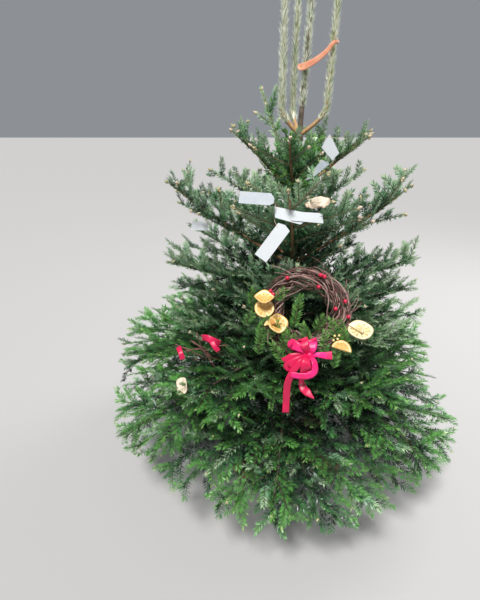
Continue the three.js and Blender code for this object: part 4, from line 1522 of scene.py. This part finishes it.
class TREE_OT_sprigs(bpy.types.Operator):
    """Grow the fresh green sprigs in front of the wreath"""

    bl_idname = "tree.sprigs"
    bl_label = "Sprigs"

    def execute(self, context):
        rng = np.random.default_rng(41)
        root, tip = np.moveaxis(on_wreath(metres(SPRIGS)), 1, 0)
        carrier = [b.node for b in BOUGHS].index("needles_fourth_5")
        length = np.linalg.norm(tip - root, axis=1)
        shoots = Shoots.made(root, unit(tip - root), WREATH[2], length, 0.05, GIRTHS[1], carrier, 2)
        mesh = Mesh()
        sizes = context.scene.tree_sizes
        _, s, base, heading, face, length, _ = needle_arrays(shoots, sizes, rng)
        tone = np.where(rng.random(len(s)) < 0.3 + 0.5 * s, 1, 0)
        add_needles(mesh, base, heading, face, length, sizes.needle_width, tone, tone)
        twig_tubes(mesh, shoots, 5, 5, 2)
        greens = tones("sprig", {name: GREENS[name] for name in ("fresh", "bright")}, 0.36)
        mesh.piece("sprigs", [*greens, plain("sprig_stem", (0.12, 0.12, 0.05), 0.7)], "needles")
        return {"FINISHED"}


class TREE_OT_stand(bpy.types.Operator):
    """Give the stand its timber"""

    bl_idname = "tree.stand"
    bl_label = "Stand"

    def execute(self, context):
        turns = {"stand_bar_lower": -45, "stand_bar_upper": 45}
        turns.update({f"stand_brace_{n + 1}": -45 - 90 * n for n in range(4)})
        for name, turn in turns.items():
            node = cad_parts[name]
            node.data.materials.clear()
            node.data.materials.append(timber_finish(f"timber_{name}", math.radians(turn)))
        return {"FINISHED"}


FLOOR = 30.0  # half its width
FLOOR_Z = -0.0005
FLOOR_COLOUR = (0.38, 0.37, 0.36)
SKY_COLOUR = (0.83, 0.88, 0.95)
SKY_STRENGTH = 0.32
# Lights: kind, name, place, power, and width, in degrees for a sun and in metres for an area
LIGHTS = (("SUN", "key", (-0.8, -2.3, 4.6), 5.3, 14), ("AREA", "rim", (2.8, 1.6, 3.4), 90, 2.2))
LIGHTS_AIM = (0, 0, 0.8)
# The camera that took the photo, as worked out from it
CAMERA_PLACE = (-0.2, -1.84, 1.45)
CAMERA_DOWN = 21.3  # degrees
CAMERA_LENS = 28.8  # mm, as is the sensor's width
CAMERA_SENSOR = 36


class TREE_OT_stage(bpy.types.Operator):
    """Set the floor, the lights and the camera"""

    bl_idname = "tree.stage"
    bl_label = "Stage"

    def execute(self, context):
        scene = context.scene
        data = bpy.data.meshes.new("floor")
        corners = [(-FLOOR, -FLOOR), (FLOOR, -FLOOR), (FLOOR, FLOOR), (-FLOOR, FLOOR)]
        data.from_pydata([(x, y, FLOOR_Z) for x, y in corners], [], [(0, 1, 2, 3)])
        floor = bpy.data.objects.new("floor", data)
        data.materials.append(plain("floor_pale", FLOOR_COLOUR, 0.85))
        scene.collection.objects.link(floor)
        world = bpy.data.worlds.new("sky")
        world.use_nodes = True
        background = world.node_tree.nodes["Background"].inputs
        background["Color"].default_value = (*SKY_COLOUR, 1)
        background["Strength"].default_value = SKY_STRENGTH
        scene.world = world
        scene.view_settings.view_transform = "Standard"
        for kind, name, where, power, width in LIGHTS:
            light = bpy.data.lights.new(name, kind)
            light.energy = power
            if kind == "SUN":
                light.angle = math.radians(width)
            else:
                light.size = width
            made = bpy.data.objects.new(name, light)
            made.location = where
            x, y, z = np.array(LIGHTS_AIM) - np.array(where)
            made.rotation_euler = (math.atan2(math.hypot(x, y), -z), 0, -math.atan2(x, y))
            scene.collection.objects.link(made)
        camera = bpy.data.cameras.new("camera")
        camera.lens = CAMERA_LENS
        camera.sensor_width = CAMERA_SENSOR
        made = bpy.data.objects.new("camera", camera)
        made.location = CAMERA_PLACE
        made.rotation_euler = (math.radians(90 - CAMERA_DOWN), 0, 0)
        scene.collection.objects.link(made)
        scene.camera = made
        return {"FINISHED"}


OPERATORS = (
    TREE_OT_stage,
    TREE_OT_trunk,
    TREE_OT_boughs,
    TREE_OT_leaders,
    TREE_OT_twigs,
    TREE_OT_needles,
    TREE_OT_buds,
    TREE_OT_wreath,
    TREE_OT_fruit,
    TREE_OT_ribbons,
    TREE_OT_tags,
    TREE_OT_sprigs,
    TREE_OT_stand,
)


class TREE_PT_sidebar(bpy.types.Panel):
    """Lists the tree's sizes, colours and pieces"""

    bl_idname = "TREE_PT_sidebar"
    bl_label = "Christmas tree"
    bl_space_type = "VIEW_3D"
    bl_region_type = "UI"
    bl_category = "Tree"

    def draw(self, context):
        for group in (context.scene.tree_sizes, context.scene.tree_colours):
            for name in group.__annotations__:
                self.layout.prop(group, name)
        for operator in OPERATORS:
            self.layout.operator(operator.bl_idname)


CLASSES = (TreeSizes, TreeColours, *OPERATORS, TREE_PT_sidebar)


def register():
    for made in CLASSES:
        bpy.utils.register_class(made)
    bpy.types.Scene.tree_sizes = bpy.props.PointerProperty(type=TreeSizes)
    bpy.types.Scene.tree_colours = bpy.props.PointerProperty(type=TreeColours)


def unregister():
    del bpy.types.Scene.tree_colours
    del bpy.types.Scene.tree_sizes
    for made in reversed(CLASSES):
        bpy.utils.unregister_class(made)


def main():
    """Registers the add-on and makes every piece."""
    register()
    for operator in OPERATORS:
        group, name = operator.bl_idname.split(".")
        getattr(getattr(bpy.ops, group), name)()


if __name__ == "__main__":
    main()
